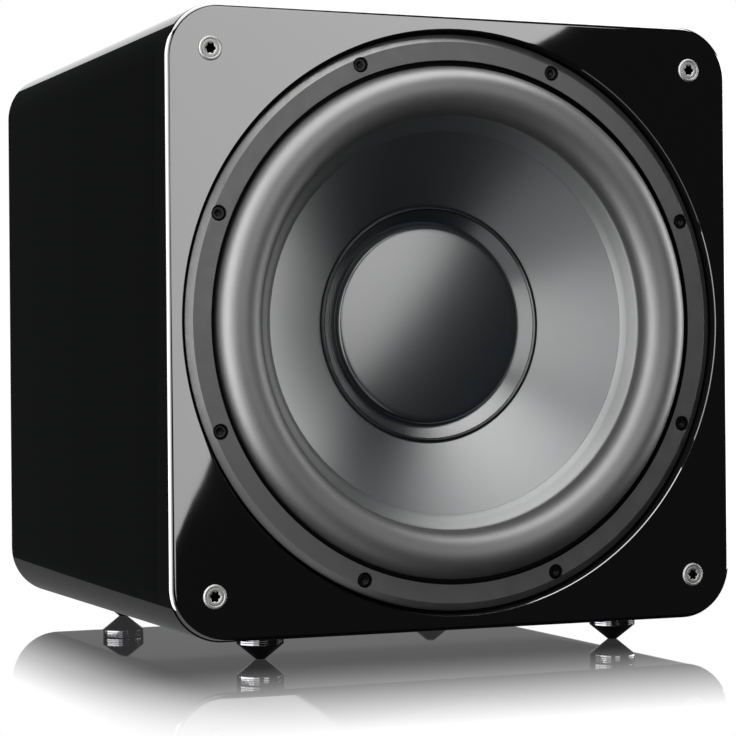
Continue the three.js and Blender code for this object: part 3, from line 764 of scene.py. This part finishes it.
def basket():
    front = FLANGE_DEPTH
    seat = reach("basket")[1]
    profile = [
        (140.8, front, 0.2),
        (141.3, front),
        (150.8, front, 0.15),
        (154.8, front + 1.85, 0.3),
        (154.8, 7.7, 0.3),
        (139.5, 7.7, 0.5),
        (139.5, 23, 2),
        (93, 76, 1.5),
        (93, 80, 1.5),
        (77, seat, 1.0),
        (42, seat, 0.4),
        (42, seat - 5, 0.4),
        (68, seat - 5, 3),
        (79, 80, 1.5),
        (79, 73.5, 0.5),
        (88, 73.5, 0.5),
        (133, 21, 4),
        (133, 7, 0.5),
        (140.8, 7, 0.3),
    ]
    body = turned("basket_cast", profile, ROUND)
    windows = []
    for spoke in range(8):
        centre = math.pi / 4 * spoke
        sweep = [centre + math.radians(15) * (1 - 2 * i / 12) for i in range(13)]
        shape = [(60 * math.cos(a), 60 * math.sin(a)) for a in sweep[::-1]]
        shape += [(160 * math.cos(a), 160 * math.sin(a)) for a in sweep]
        windows.append(plate("window", [shape], 27, 69))
    bore = [(0, 0.5), (4.9, 0.5), (4.9, front - 0.3), (4.2, front + 0.05), (3.9, front + 0.35), (3.9, 6.2)]
    bore += [(2.4, 6.2), (2.4, 9), (0, 9)]
    places = screw_places()
    cut(body, windows + [turned("bore", bore, 48, place) for place in places])
    body.data.materials.append(FLANGE)
    paint(body, BEVEL, lambda x, z, d: d < front + 2.2 and math.hypot(x, z) > 150.9)
    # Painted shade: the flange's inner wall beside the surround is painted black.
    paint(body, PAINTED_SHADE, lambda x, z, d: front + 0.5 < d < 7.3 and math.hypot(x, z) < 141)

    # Painted shade: the counterbores round the driver screws are painted black.
    def painted_shade_in_counterbore(x, z, depth):
        return depth > front + 0.15 and any(math.hypot(x - px, z - pz) < 4.6 for px, pz in places)

    paint(body, PAINTED_SHADE, painted_shade_in_counterbore)
    put(body, FLANGE, replaces=["basket"], sharp=30)


def hexagon(angle, radius, depth):
    """Radii inside the screw's socket follow a hexagon."""
    if radius > 1.9:
        return radius
    return radius * math.cos(math.pi / 6) / math.cos((angle % (math.pi / 3)) - math.pi / 6)


def driver_screws():
    profile = [(0, 4.9), (1.5, 4.7), (1.75, 4.5), (1.75, 3.35), (2.1, 3.2), (3.05, 3.2, 0.1)]
    profile += [(3.5, 3.65, 0.3), (3.5, 5.9, 0.1), (2.0, 5.9, 0.1)]
    profile += [(2.0 - 0.3 * (i % 2), 6.6 + 0.4 * i) for i in range(28)] + [(1.2, 19), (0, 19)]
    for i, place in enumerate(screw_places(), start=1):
        screw = turned(f"driver_screw_socket_{i}", profile, 48, place, hexagon)
        put(screw, SCREW, replaces=[f"driver_screw_{i}"])


EDGE_RADIUS, EDGE_DEPTH, SLOPE = 104.0, 15.2, 0.653


def cone_depth(radius):
    return EDGE_DEPTH + (EDGE_RADIUS - radius) * SLOPE


def surround():
    top_radius, groove, foot = 125.8, 112.5, 138.1
    crest = reach("surround")[0]
    base = 5.6

    def roll(inset, steps=26):
        height = base - crest - inset
        points = []
        for i in range(steps + 1):
            angle = math.pi * i / steps
            width = (foot - top_radius if 2 * i < steps else top_radius - groove) - inset
            points.append((top_radius + width * math.cos(angle), base - height * math.sin(angle)))
        return points

    front = roll(0)
    back = roll(1.4)[::-1]
    profile = [
        (140.2, 6.9, 0.2),
        (140.2, base + 0.8, 0.2),
        (foot + 0.2, base + 0.8, 0.2),
        *front[1:-1],
        (groove, base),
        (groove - 0.4, cone_depth(groove) - 1.3, 2.6),
        (107.0, cone_depth(107.0) - 1.0, 2.0),
        (EDGE_RADIUS + 0.1, cone_depth(EDGE_RADIUS) - 0.45, 0.25),
        (EDGE_RADIUS + 0.1, cone_depth(EDGE_RADIUS) - 0.08, 0.08),
        (112.3, cone_depth(112.3) - 0.25, 0.4),
        (113.9, base + 2),
        *back[1:-1],
        (135.6, 6.7, 0.3),
    ]
    piece = turned("surround_roll", profile, ROUND)
    smooth(piece, 50, weighted=False)
    bend(piece, lambda r: ease((138.0 - r) / (138.0 - 111.5)))
    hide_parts("surround")
    piece.data.materials.append(RUBBER)
    paint(piece, LIP, lambda x, z, d: math.hypot(x, z) < 110.8)
    # Painted shade: the surround's lip down in the gap by the flange is painted black.
    paint(piece, PAINTED_SHADE, lambda x, z, d: d > base + 0.1 and math.hypot(x, z) > foot)


def ease(share):
    share = min(1.0, max(0.0, share))
    return share * share * (3 - 2 * share)


def bend(piece, weight_of):
    """Bakes a piece's placement into its mesh and works out a weight for each point. weight_of(radius) is 0
    on the cabinet and 1 on the cone. The weights are not kept.
    """
    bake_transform(piece)
    weights = [weight_of(math.hypot(v.co.x, v.co.z - AXIS_Z) / MM) for v in piece.data.vertices]


def moving_assembly():
    neck, edge = 30.5, 110.5
    cone = turned(
        "cone_satin",
        [(neck, cone_depth(neck), 0.3), (edge, cone_depth(edge), 0.2), (edge, cone_depth(edge) + 2, 0.5),
         (neck, cone_depth(neck) + 2, 0.5)],
        ROUND,
    )
    put(cone, CONE, "cone_assembly", ["cone"])

    apex, rise = 38.5, 3.8  # depth of the dome's top, and how far the dome falls towards its edge
    collar, lip, shell = 55.3, 63.4, 1.2
    collar_depth = cone_depth(collar) - 1.5

    def dome(offset, steps=40):
        """Most of the fall is a shallow curve, and the rest is the steep edge down to the collar."""
        points = []
        for i in range(steps + 1):
            share = 1 - (1 - i / steps) ** 2
            fall = rise * share**2 + (collar_depth - apex - rise) * share**70
            points.append((collar * share, apex + offset + fall))
        return points

    cap = turned(
        "dust_cap_dome",
        [*dome(0)[:-1], (collar, collar_depth, 0.9), (lip, cone_depth(lip) - 1.35, 0.25),
         (lip, cone_depth(lip) - 0.3), (collar, collar_depth + shell, 0.4), *dome(shell)[::-1][1:]],
        ROUND,
        steps=6,
    )
    put(cap, CAP, "cone_assembly", ["dust_cap"], 50)

    bead_inner, bead_outer = 62.9, 65.2
    bead = turned(
        "cap_bead",
        [(bead_inner, cone_depth(bead_inner) - 0.9), (bead_inner, cone_depth(bead_inner) - 1.9, 0.45),
         (63.8, cone_depth(63.8) - 2.3, 0.5), (64.5, cone_depth(64.5) - 1.5, 0.4),
         (bead_outer, cone_depth(bead_outer) - 0.8, 0.3), (bead_outer, cone_depth(bead_outer) - 0.05)],
        ROUND,
    )
    put(bead, BEAD, "cone_assembly", sharp=60)

    profile = [(29.4, 58, 0.1), (30.2, 58, 0.1), (30.2, 119, 0.1), (29.4, 119, 0.1)]
    former = turned("coil_former_tube", profile)
    put(former, FILM, "cone_assembly", ["coil_former"])

    turns = [(32.3 if i % 2 else 32.05, 92.4 + 0.3 * i) for i in range(85)]
    coil = turned("voice_coil_wound", [(30.5, 92), (32.0, 92), *turns, (32.0, 118), (30.5, 118)])
    put(coil, COPPER, "cone_assembly", ["voice_coil"], 60)


def spider():
    inner, outer, first, pitch = 31.0, 87.0, 35.0, 8.0
    back_depth = reach("spider")[1] - 2.2
    rolls_end = 78.4

    def surface(radius):
        if radius < first - 3 or radius > rolls_end:
            return back_depth
        fade = ease((radius - first + 3) / 3) * ease((rolls_end - radius) / 3)
        return back_depth - 2.2 * fade * math.cos(math.pi * (radius - first) / pitch)

    steps = 90
    radii = [inner + (outer - inner) * i / steps for i in range(steps + 1)]
    back = [(r, surface(r)) for r in radii]
    front = [(r, surface(r) - 0.7) for r in radii[::-1]]
    piece = turned("spider_corrugated", back + front, 160)
    smooth(piece, 60, weighted=False)
    bend(piece, lambda r: ease((rolls_end - r) / (rolls_end - 33.0)))
    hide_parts("spider")
    piece.data.materials.append(CLOTH)


def motor():
    top_near, top_far = reach("top_plate")
    magnet_near, magnet_far = reach("magnet")
    _, back_far = reach("pole_back_plate")
    back_near = magnet_far + 0.3
    pole_near = top_near - 2

    def ring(name, inner, outer, near, far, edge):
        profile = [(inner, near, edge), (outer, near, edge), (outer, far, edge), (inner, far, edge)]
        return turned(name, profile, 128)

    top = ring("top_plate_milled", 33.4, 70, top_near, top_far, 0.6)
    put(top, ZINC, replaces=["top_plate"])
    magnet = ring("magnet_ferrite", 36, 75, magnet_near, magnet_far, 1.2)
    put(magnet, FERRITE, replaces=["magnet"])
    yoke = turned(
        "pole_back_plate_milled",
        [(8, pole_near, 0.8), (28.4, pole_near, 0.8), (28.4, back_near, 2), (72, back_near, 0.8),
         (72, back_far, 1.5), (26, back_far, 0.4), (24, back_far - 1.5, 0.4), (12, back_far - 1.5, 0.6),
         (8, back_far - 4, 0.6)],
        128,
    )
    put(yoke, ZINC, replaces=["pole_back_plate"])


LEAD_ROUTE = [
    (0, -103, 90.3),
    (0, -106, 106),
    (-14, -116, 128),
    (-34, -110, 152),
    (-46, -92, 180),
    (-52, -64, 214),
    (-56, -28, 246),
    (-58, 4, 268),
    (-58, 18, 282),
    (-58, 20, 291.4),
]
BRAID_ROUTE = [
    (0, -100, 75.3),
    (0, -99.5, 68),
    (0, -94, 61),
    (0, -84, 58.5),
    (0, -74, 56.5),
    (0, -66, 51),
    (0, -61.5, 44.6),
]


def wiring():
    for name, offset, material, slot in (
        ("speaker_lead_black", -6, PLASTIC, "black_plastic"),
        ("speaker_lead_red", 6, RED, "red_plastic"),
    ):
        lead = tube(name + "_insulated", [(x + offset, z, d) for x, z, d in LEAD_ROUTE], 1.7)
        put(lead, material, replaces=[name], sharp=50)

    for side, offset in (("left", -6), ("right", 6)):
        route = [(x + offset, z, d) for x, z, d in BRAID_ROUTE]
        braid = tube(f"flexible_braid_{side}", route, 0.9, resolution=12)
        smooth(braid, 50, weighted=False)
        bend(braid, lambda r: ease((98.0 - r) / (98.0 - 63.0)))
        braid.data.materials.append(COPPER)


# ---------------------------------------------------------------- amplifier

REAR_FACE = reach("amp_plate")[1]
INLET = middle("mains_inlet")
ROCKER = middle("rocker_housing")
KNOBS = {name: middle(name) for name in ("level_knob", "crossover_knob")}
SLIDERS = {name: middle(name) for name in ("phase_slider", "mode_slider")}
JACKS = {name: middle(name) for name in ("input_jack_left", "input_jack_right")}
STATUS = middle("status_lens")
SLIDER_TRAVEL = 4.0


def amp_screw_places():
    half_width, half_height = (size / 2 - 5.6 for size in across("amp_plate"))
    places = [(x * half_width, z * half_height) for x in (-1, 0, 1) for z in (-1, 1)]
    places += [(x * half_width, z * half_height / 3) for x in (-1, 1) for z in (-1, 1)]
    return places


def amplifier_plate():
    width, height = across("amp_plate")
    near = REAR_FACE - 3
    slots = [
        rectangle(27.6, 46.6, INLET[0], INLET[1]),
        rectangle(13.6, 19.6, ROCKER[0], ROCKER[1]),
        circle(2.4, 24, STATUS[0], STATUS[1]),
    ]
    slots += [circle(3.5, 32, x, z) for x, z, _ in KNOBS.values()]
    slots += [circle(4.7, 32, x, z) for x, z, _ in JACKS.values()]
    half = SLIDER_TRAVEL / 2
    slots += [rectangle(SLIDER_TRAVEL + 4.4, 4.4, x + half, z, 0.6, 3) for x, z, _ in SLIDERS.values()]
    face = plate("face", [rectangle(width, height, corner=5.7), *slots], near, REAR_FACE, 0.4)
    pillars = [
        turned("pillar", [(0, 293.9), (3, 293.9, 0.3), (3, near + 0.1, 0.1), (0, near + 0.1)], 32, (x, z))
        for x in (-88, 88)
        for z in (8, 98)
    ]
    piece = joined("amp_plate_coated", [face, *pillars])
    put(piece, AMP, replaces=["amp_plate"], sharp=40)

    profile = [(0, 0.5), (1.2, 0.5), (1.2, 1.55, 0.1), (2.2, 1.35), (3.2, 0.5, 0.3), (3.2, 0, 0.1)]
    profile += [(1.5, 0), (1.5, -9), (0, -9)]
    profile = [(radius, REAR_FACE + height, *rounding) for radius, height, *rounding in profile]
    for i, place in enumerate(amp_screw_places(), start=1):
        screw = turned(f"amp_screw_{i}", profile, 36, place, hexagon)
        put(screw, SCREW)


def dial_marks():
    """Bars of paint round each dial and beside each slider, with no lettering."""
    bars = []
    for x, z, _ in KNOBS.values():
        for step in range(11):
            angle = math.radians(240 - 30 * step)
            length = 3.2 if step in (0, 5, 10) else 2.0
            bars.append(bar(x, z, angle, 11.6, 11.6 + length, 0.7))
    for x, z, _ in SLIDERS.values():
        for end in (-1, 1):
            bars.append(bar(x + SLIDER_TRAVEL / 2 + end * 2, z, math.pi / 2, 3.6, 5.4, 0.6))
    for x, z, _ in JACKS.values():
        angles = [math.pi * i / 24 for i in range(25)]
        arch = [(x + 8.2 * math.cos(a), z + 8.2 * math.sin(a)) for a in angles]
        arch += [(x + 7.6 * math.cos(a), z + 7.6 * math.sin(a)) for a in angles[::-1]]
        bars.append(printed(arch))
    marks = joined("amp_marks_printed", bars)
    put(marks, MARK, sharp=0)


def printed(points):
    return plate("mark", [points], REAR_FACE - 0.02, REAR_FACE + 0.08)


def bar(x, z, angle, start, end, width):
    along = Vector((math.cos(angle), math.sin(angle)))
    across = Vector((-along.y, along.x)) * width / 2
    corners = [along * start - across, along * end - across, along * end + across, along * start + across]
    return printed([(x + c.x, z + c.y) for c in corners])


def fluted(angle, radius, depth):
    """A knob's grip has 36 flutes."""
    if radius < 8.0 or depth > REAR_FACE + 12.6 or depth < REAR_FACE + 1.6:
        return radius
    return radius - 0.28 + 0.28 * math.cos(36 * angle)


def controls():
    for name, (x, z, _) in KNOBS.items():
        near, far = reach(name)
        seat = REAR_FACE + 0.3
        profile = [(0, near), (3, near, 0.3), (3, seat), (9.0, seat, 0.3), (9.0, seat + 1.3, 0.2)]
        profile += [(8.75, seat + 1.6, 0.1)] + [(8.7 - 0.06 * i, seat + 2 + 1.2 * i) for i in range(9)]
        profile += [(8.1, far - 0.6, 0.3), (7.4, far, 0.3), (6.2, far, 0.2), (5.9, far - 0.4, 0.2)]
        profile += [(0, far - 0.4)]
        knob = turned(name + "_fluted", profile, 216, (x, z), fluted)
        put(knob, GRIP, name, [name], 40)
        stripe = rectangle(0.9, 6.4, x, z + 4.9, 0.3, 3)
        pointer = plate(name + "_pointer", [stripe], far - 0.5, far - 0.02, 0.1)
        put(pointer, WHITE, name)

    for name, (x, z, _) in JACKS.items():
        near, far = reach(name)
        seat = REAR_FACE + 0.3
        shell = turned(
            name + "_shell",
            [(0, near), (4.2, near, 0.2), (4.2, seat), (6.0, seat, 0.2), (6.0, seat + 1.8, 0.4),
             (4.15, seat + 2.1, 0.2), (4.15, far, 0.25), (3.55, far, 0.2), (3.55, far - 8.5), (0, far - 8.5)],
            64,
            (x, z),
        )
        nickel = turned_metal(name + "_nickel", (0.74, 0.73, 0.70), 0.26, (x, z))
        put(shell, nickel, replaces=[name], sharp=40)
        colour, slot = (WHITE, "black_plastic") if name.endswith("left") else (RED, "red_plastic")
        core = turned(
            name + "_insulator",
            [(1.65, far - 8.4), (3.45, far - 8.4), (3.45, far - 1.0, 0.2), (1.9, far - 0.8, 0.2),
             (1.65, far - 1.1, 0.1)],
            48,
            (x, z),
        )
        put(core, colour, sharp=40)

    near, far = reach("status_lens")
    profile = [(0, near), (1.9, near, 0.2), (1.9, far - 0.6, 0.2), (1.6, far - 0.2, 0.3), (0, far)]
    lens = turned("status_lens_domed", profile, 40, STATUS[:2])
    put(lens, LENS, replaces=["status_lens"], sharp=40)


def amplifier_inside():
    x, z, _ = middle("mains_transformer")
    near, far = reach("mains_transformer")
    profile = [(12, near + 6, 5), (22, near, 6), (34, near, 6), (42, near + 6, 7)]
    profile += [(42, far - 6, 7), (34, far, 6), (22, far, 6), (12, far - 6, 5)]

    def wound(angle, radius, depth):
        return radius + 0.25 * math.cos(60 * angle)

    core = turned("mains_transformer_wound", profile, 360, (x, z), wound, steps=6)
    put(core, TAPE, replaces=["mains_transformer"], sharp=60)
    for i in (1, 2):
        name = f"reservoir_capacitor_{i}"
        x, z, _ = middle(name)
        near, far = reach(name)
        can = turned(
            name + "_sleeved",
            [(0, near + 0.5), (11.5, near + 0.5, 0.3), (12.5, near, 0.5), (15, near, 1.2), (15, far - 5, 0.4),
             (14.2, far - 4, 0.6), (15, far - 3, 0.4), (15, far, 0.8), (0, far)],
            80,
            (x, z),
        )
        can.data.materials.append(SLEEVE)
        paint(can, ALUMINIUM, lambda px, pz, d: d < near + 0.6 and math.hypot(px - x, pz - z) < 12)
        put(can, SLEEVE, replaces=[name], sharp=40)


def kept_nodes():
    """CAD solids whose shape is already right get a material, and soft edges where they show."""
    for name, material, edge in (
        ("window_brace", BOARD, 0.6),
        ("driver_gasket", FOAM, 0.0),
        ("amp_gasket", FOAM, 0.0),
        ("amp_board", PCB, 0.0),
        ("heat_sink", ALUMINIUM, 0.25),
        ("terminal_block", PLASTIC, 0.3),
        ("mains_inlet", PLASTIC, 0.35),
        ("fuse_drawer", PLASTIC, 0.25),
        ("rocker_housing", PLASTIC, 0.3),
        ("power_rocker", PLASTIC, 0.35),
        ("phase_slider", PLASTIC, 0.3),
        ("mode_slider", PLASTIC, 0.3),
    ):
        node = frame["nodes"][name]
        while len(node.material_slots) < 1:
            node.data.materials.append(material)
        for slot in node.material_slots:
            slot.material = material
        weld = node.modifiers.new("weld", "WELD")
        weld.merge_threshold = 1e-6
        if edge:
            bevel = node.modifiers.new("edge", "BEVEL")
            bevel.width = edge * MM
            bevel.segments = 3
            bevel.limit_method = "ANGLE"
            bevel.angle_limit = math.radians(40)
            bevel.harden_normals = True


# ---------------------------------------------------------------- room and light

WHITE_LEVEL = 1.0
MIRROR_SHARE = 0.975  # of the floor's brightness beneath the cabinet


def softbox(name, centre, target, size, radiance, roll=0.0, fade=0.0):
    """A soft rectangular light of an even brightness, which may fade towards the left end of its width."""
    data = bpy.data.lights.new(name, "AREA")
    data.shape = "RECTANGLE"
    data.size, data.size_y = size
    data.energy = radiance * math.pi * size[0] * size[1]
    light = add(name, data)
    facing = (Vector(target) - Vector(centre)).to_track_quat("-Z", "Y").to_matrix()
    turn = facing @ Matrix.Rotation(roll, 3, "Z")
    light.matrix_world = Matrix.Translation(centre) @ turn.to_4x4()
    light.visible_camera = False
    if fade:
        data.use_nodes = True
        nodes, links = data.node_tree.nodes, data.node_tree.links
        where = nodes.new("ShaderNodeNewGeometry")
        parts = nodes.new("ShaderNodeSeparateXYZ")
        span = nodes.new("ShaderNodeMapRange")
        span.inputs["To Min"].default_value = 1 - fade
        span.inputs["To Max"].default_value = 1
        links.new(where.outputs["Parametric"], parts.inputs[0])
        links.new(parts.outputs["X"], span.inputs["Value"])
        links.new(span.outputs[0], nodes["Emission"].inputs["Strength"])
    return light


def key_light():
    """The large softbox that the gloss face mirrors. Its edge slants across the face through two points."""
    mirrored = Vector((CAMERA_PLACE.x, 2 * FRONT - CAMERA_PLACE.y, CAMERA_PLACE.z))
    distance = 1.1
    ends = []
    for x, z in ((-152, -88), (57, 161)):
        ray = at(x, z, 0) - mirrored
        ends.append(mirrored + ray * ((mirrored.y - FRONT + distance) / (mirrored.y - FRONT)))
    along = (ends[1] - ends[0]).normalized()
    inward = Vector((-along.z, 0, along.x))
    length, width = 0.95, 0.66
    centre = (ends[0] + ends[1]) / 2 + inward * width / 2
    roll = math.atan2(along.z, along.x)
    softbox("key", centre, centre + Vector((0, 1, 0)), (length, width), 10.8, roll, fade=0.25)


def wall_light(name, start, end, low, high, radiance):
    """An upright softbox over the line between two points on the floor plan. It faces to the line's right."""
    start, end = Vector((*start, 0)), Vector((*end, 0))
    along = end - start
    centre = (start + end) / 2 + Vector((0, 0, (low + high) / 2))
    facing = Vector((along.y, -along.x, 0))
    return softbox(name, centre, centre + facing, (along.length, high - low), radiance)


def link_to_walls(light, state):
    """Lets a light fall on the cabinet's polished walls only, or on everything but them."""
    walls = bpy.data.collections.new(f"{light.name}_walls")
    walls.objects.link(bpy.data.objects["cabinet_wrap_gloss"])
    walls.collection_objects[0].light_linking.link_state = state
    light.light_linking.receiver_collection = walls


def roof_light(name, corner, turn, size, height, radiance):
    """A level softbox with one corner above a point on the floor plan, turned about it."""
    turn = math.radians(turn)
    along = Vector((math.cos(turn), math.sin(turn), 0))
    across = Vector((-along.y, along.x, 0))
    centre = Vector((*corner, height)) + along * size[0] / 2 + across * size[1] / 2
    light = softbox(name, centre, centre - Vector((0, 0, 1)), size, radiance)
    light.matrix_world = Matrix.Translation(centre) @ Matrix.Rotation(turn, 4, "Z")


def lights():
    key_light()
    wall_light("side_front", (-0.62, -1.2), (-0.98, -0.8), -0.3, 0.9, 8.5)
    side = (-0.98, -0.8), (-1.2, 0.7), -0.6, 1.1
    link_to_walls(wall_light("side", *side, 24), "EXCLUDE")
    link_to_walls(wall_light("side_on_walls", *side, 2.5), "INCLUDE")
    right = (1.3, 0.4), (1.15, -0.62), -0.1, 0.75
    link_to_walls(wall_light("right", *right, 14), "EXCLUDE")
    link_to_walls(wall_light("right_on_walls", *right, 2.5), "INCLUDE")
    roof_light("over", (-0.8, -1.55), 31, (2.2, 1.5), 1.35, 19)
    softbox("table", (-0.45, -0.74, -0.35), (-0.45, -0.74, 1), (0.9, 1.0), 2.1)
    softbox("fill", (0.9, -1.9, 0.2), (0, FRONT, 0.2), (2.8, 2.4), 0.07)
    softbox("backdrop", (0.78, 1.0, 0.6), (0.78, 0, 0.6), (1.76, 1.2), WHITE_LEVEL)
    softbox("under", (0.75, 1.6, -0.095), (0.75, 0, -0.095), (2.4, 0.19), 0.2)
    softbox("under_low", (0.75, 1.6, -0.445), (0.75, 0, -0.445), (2.4, 0.51), 0.13)
    softbox("rear", (0.9, 1.7, 1.3), (0, 0.1, 0.15), (0.8, 0.8), 7)
    softbox("rear_low", (-1.5, 1.5, 0.5), (0, 0.1, 0.15), (0.5, 0.9), 3)


def world():
    """White where the camera sees it, and a dim studio for everything else."""
    scene_world = bpy.data.worlds.new("studio")
    bpy.context.scene.world = scene_world
    scene_world.use_nodes = True
    nodes, links = scene_world.node_tree.nodes, scene_world.node_tree.links
    dim = nodes["Background"]
    dim.inputs["Color"].default_value = (0.95, 0.98, 1.0, 1)
    dim.inputs["Strength"].default_value = 0.03
    bright = nodes.new("ShaderNodeBackground")
    bright.inputs["Color"].default_value = (1, 1, 1, 1)
    bright.inputs["Strength"].default_value = WHITE_LEVEL
    path = nodes.new("ShaderNodeLightPath")
    mix = nodes.new("ShaderNodeMixShader")
    links.new(path.outputs["Is Camera Ray"], mix.inputs[0])
    links.new(dim.outputs[0], mix.inputs[1])
    links.new(bright.outputs[0], mix.inputs[2])
    links.new(mix.outputs[0], nodes["World Output"].inputs["Surface"])


def floor():
    """A pale floor that mirrors what stands on it and turns plain white a short way off."""
    half = 12.0
    mesh = bpy.data.meshes.new("floor")
    corners = [(-half, -half, 0), (half, -half, 0), (half, half, 0), (-half, half, 0)]
    mesh.from_pydata(corners, [], [(0, 1, 2, 3)])
    piece = add("floor", mesh)
    for ray in ("diffuse", "glossy", "transmission", "shadow"):
        setattr(piece, "visible_" + ray, False)
    made = Shader("floor", (1, 1, 1), 0.02)
    parts = made.node("ShaderNodeSeparateXYZ")
    made.link(made.place, parts.inputs[0])
    share = MIRROR_SHARE
    for axis, low, high, span, power in (
        ("X", BOX_LOW.x, BOX_HIGH.x, 0.080, 1.4),
        ("Y", FRONT, BOX_HIGH.y, 0.225, 1.6),
    ):
        offset = made.math("ABSOLUTE", made.math("SUBTRACT", parts.outputs[axis], (low + high) / 2))
        past = made.math("MAXIMUM", made.math("SUBTRACT", offset, (high - low) / 2), 0.0)
        fall = made.math("POWER", made.math("DIVIDE", past, span), power)
        share = made.math("MULTIPLY", made.math("MAXIMUM", made.math("SUBTRACT", 1.0, fall), 0.0), share)
    glow = made.node("ShaderNodeEmission")
    glow.inputs["Strength"].default_value = WHITE_LEVEL
    mirror = made.node("ShaderNodeBsdfGlossy")
    mirror.inputs["Roughness"].default_value = 0.02
    mirror.inputs["Color"].default_value = (1, 1, 1, 1)
    mix = made.node("ShaderNodeMixShader")
    made.link(share, mix.inputs[0])
    made.link(glow.outputs[0], mix.inputs[1])
    made.link(mirror.outputs[0], mix.inputs[2])
    made.link(mix.outputs[0], made.tree.nodes["Material Output"].inputs["Surface"])
    mesh.materials.append(made.material)


make_camera()
cabinet()
feet()
grille_sockets()
basket()
driver_screws()
surround()
moving_assembly()
spider()
motor()
wiring()
amplifier_plate()
dial_marks()
controls()
amplifier_inside()
kept_nodes()
lights()
world()
floor()
bpy.context.scene.view_settings.view_transform = "Standard"
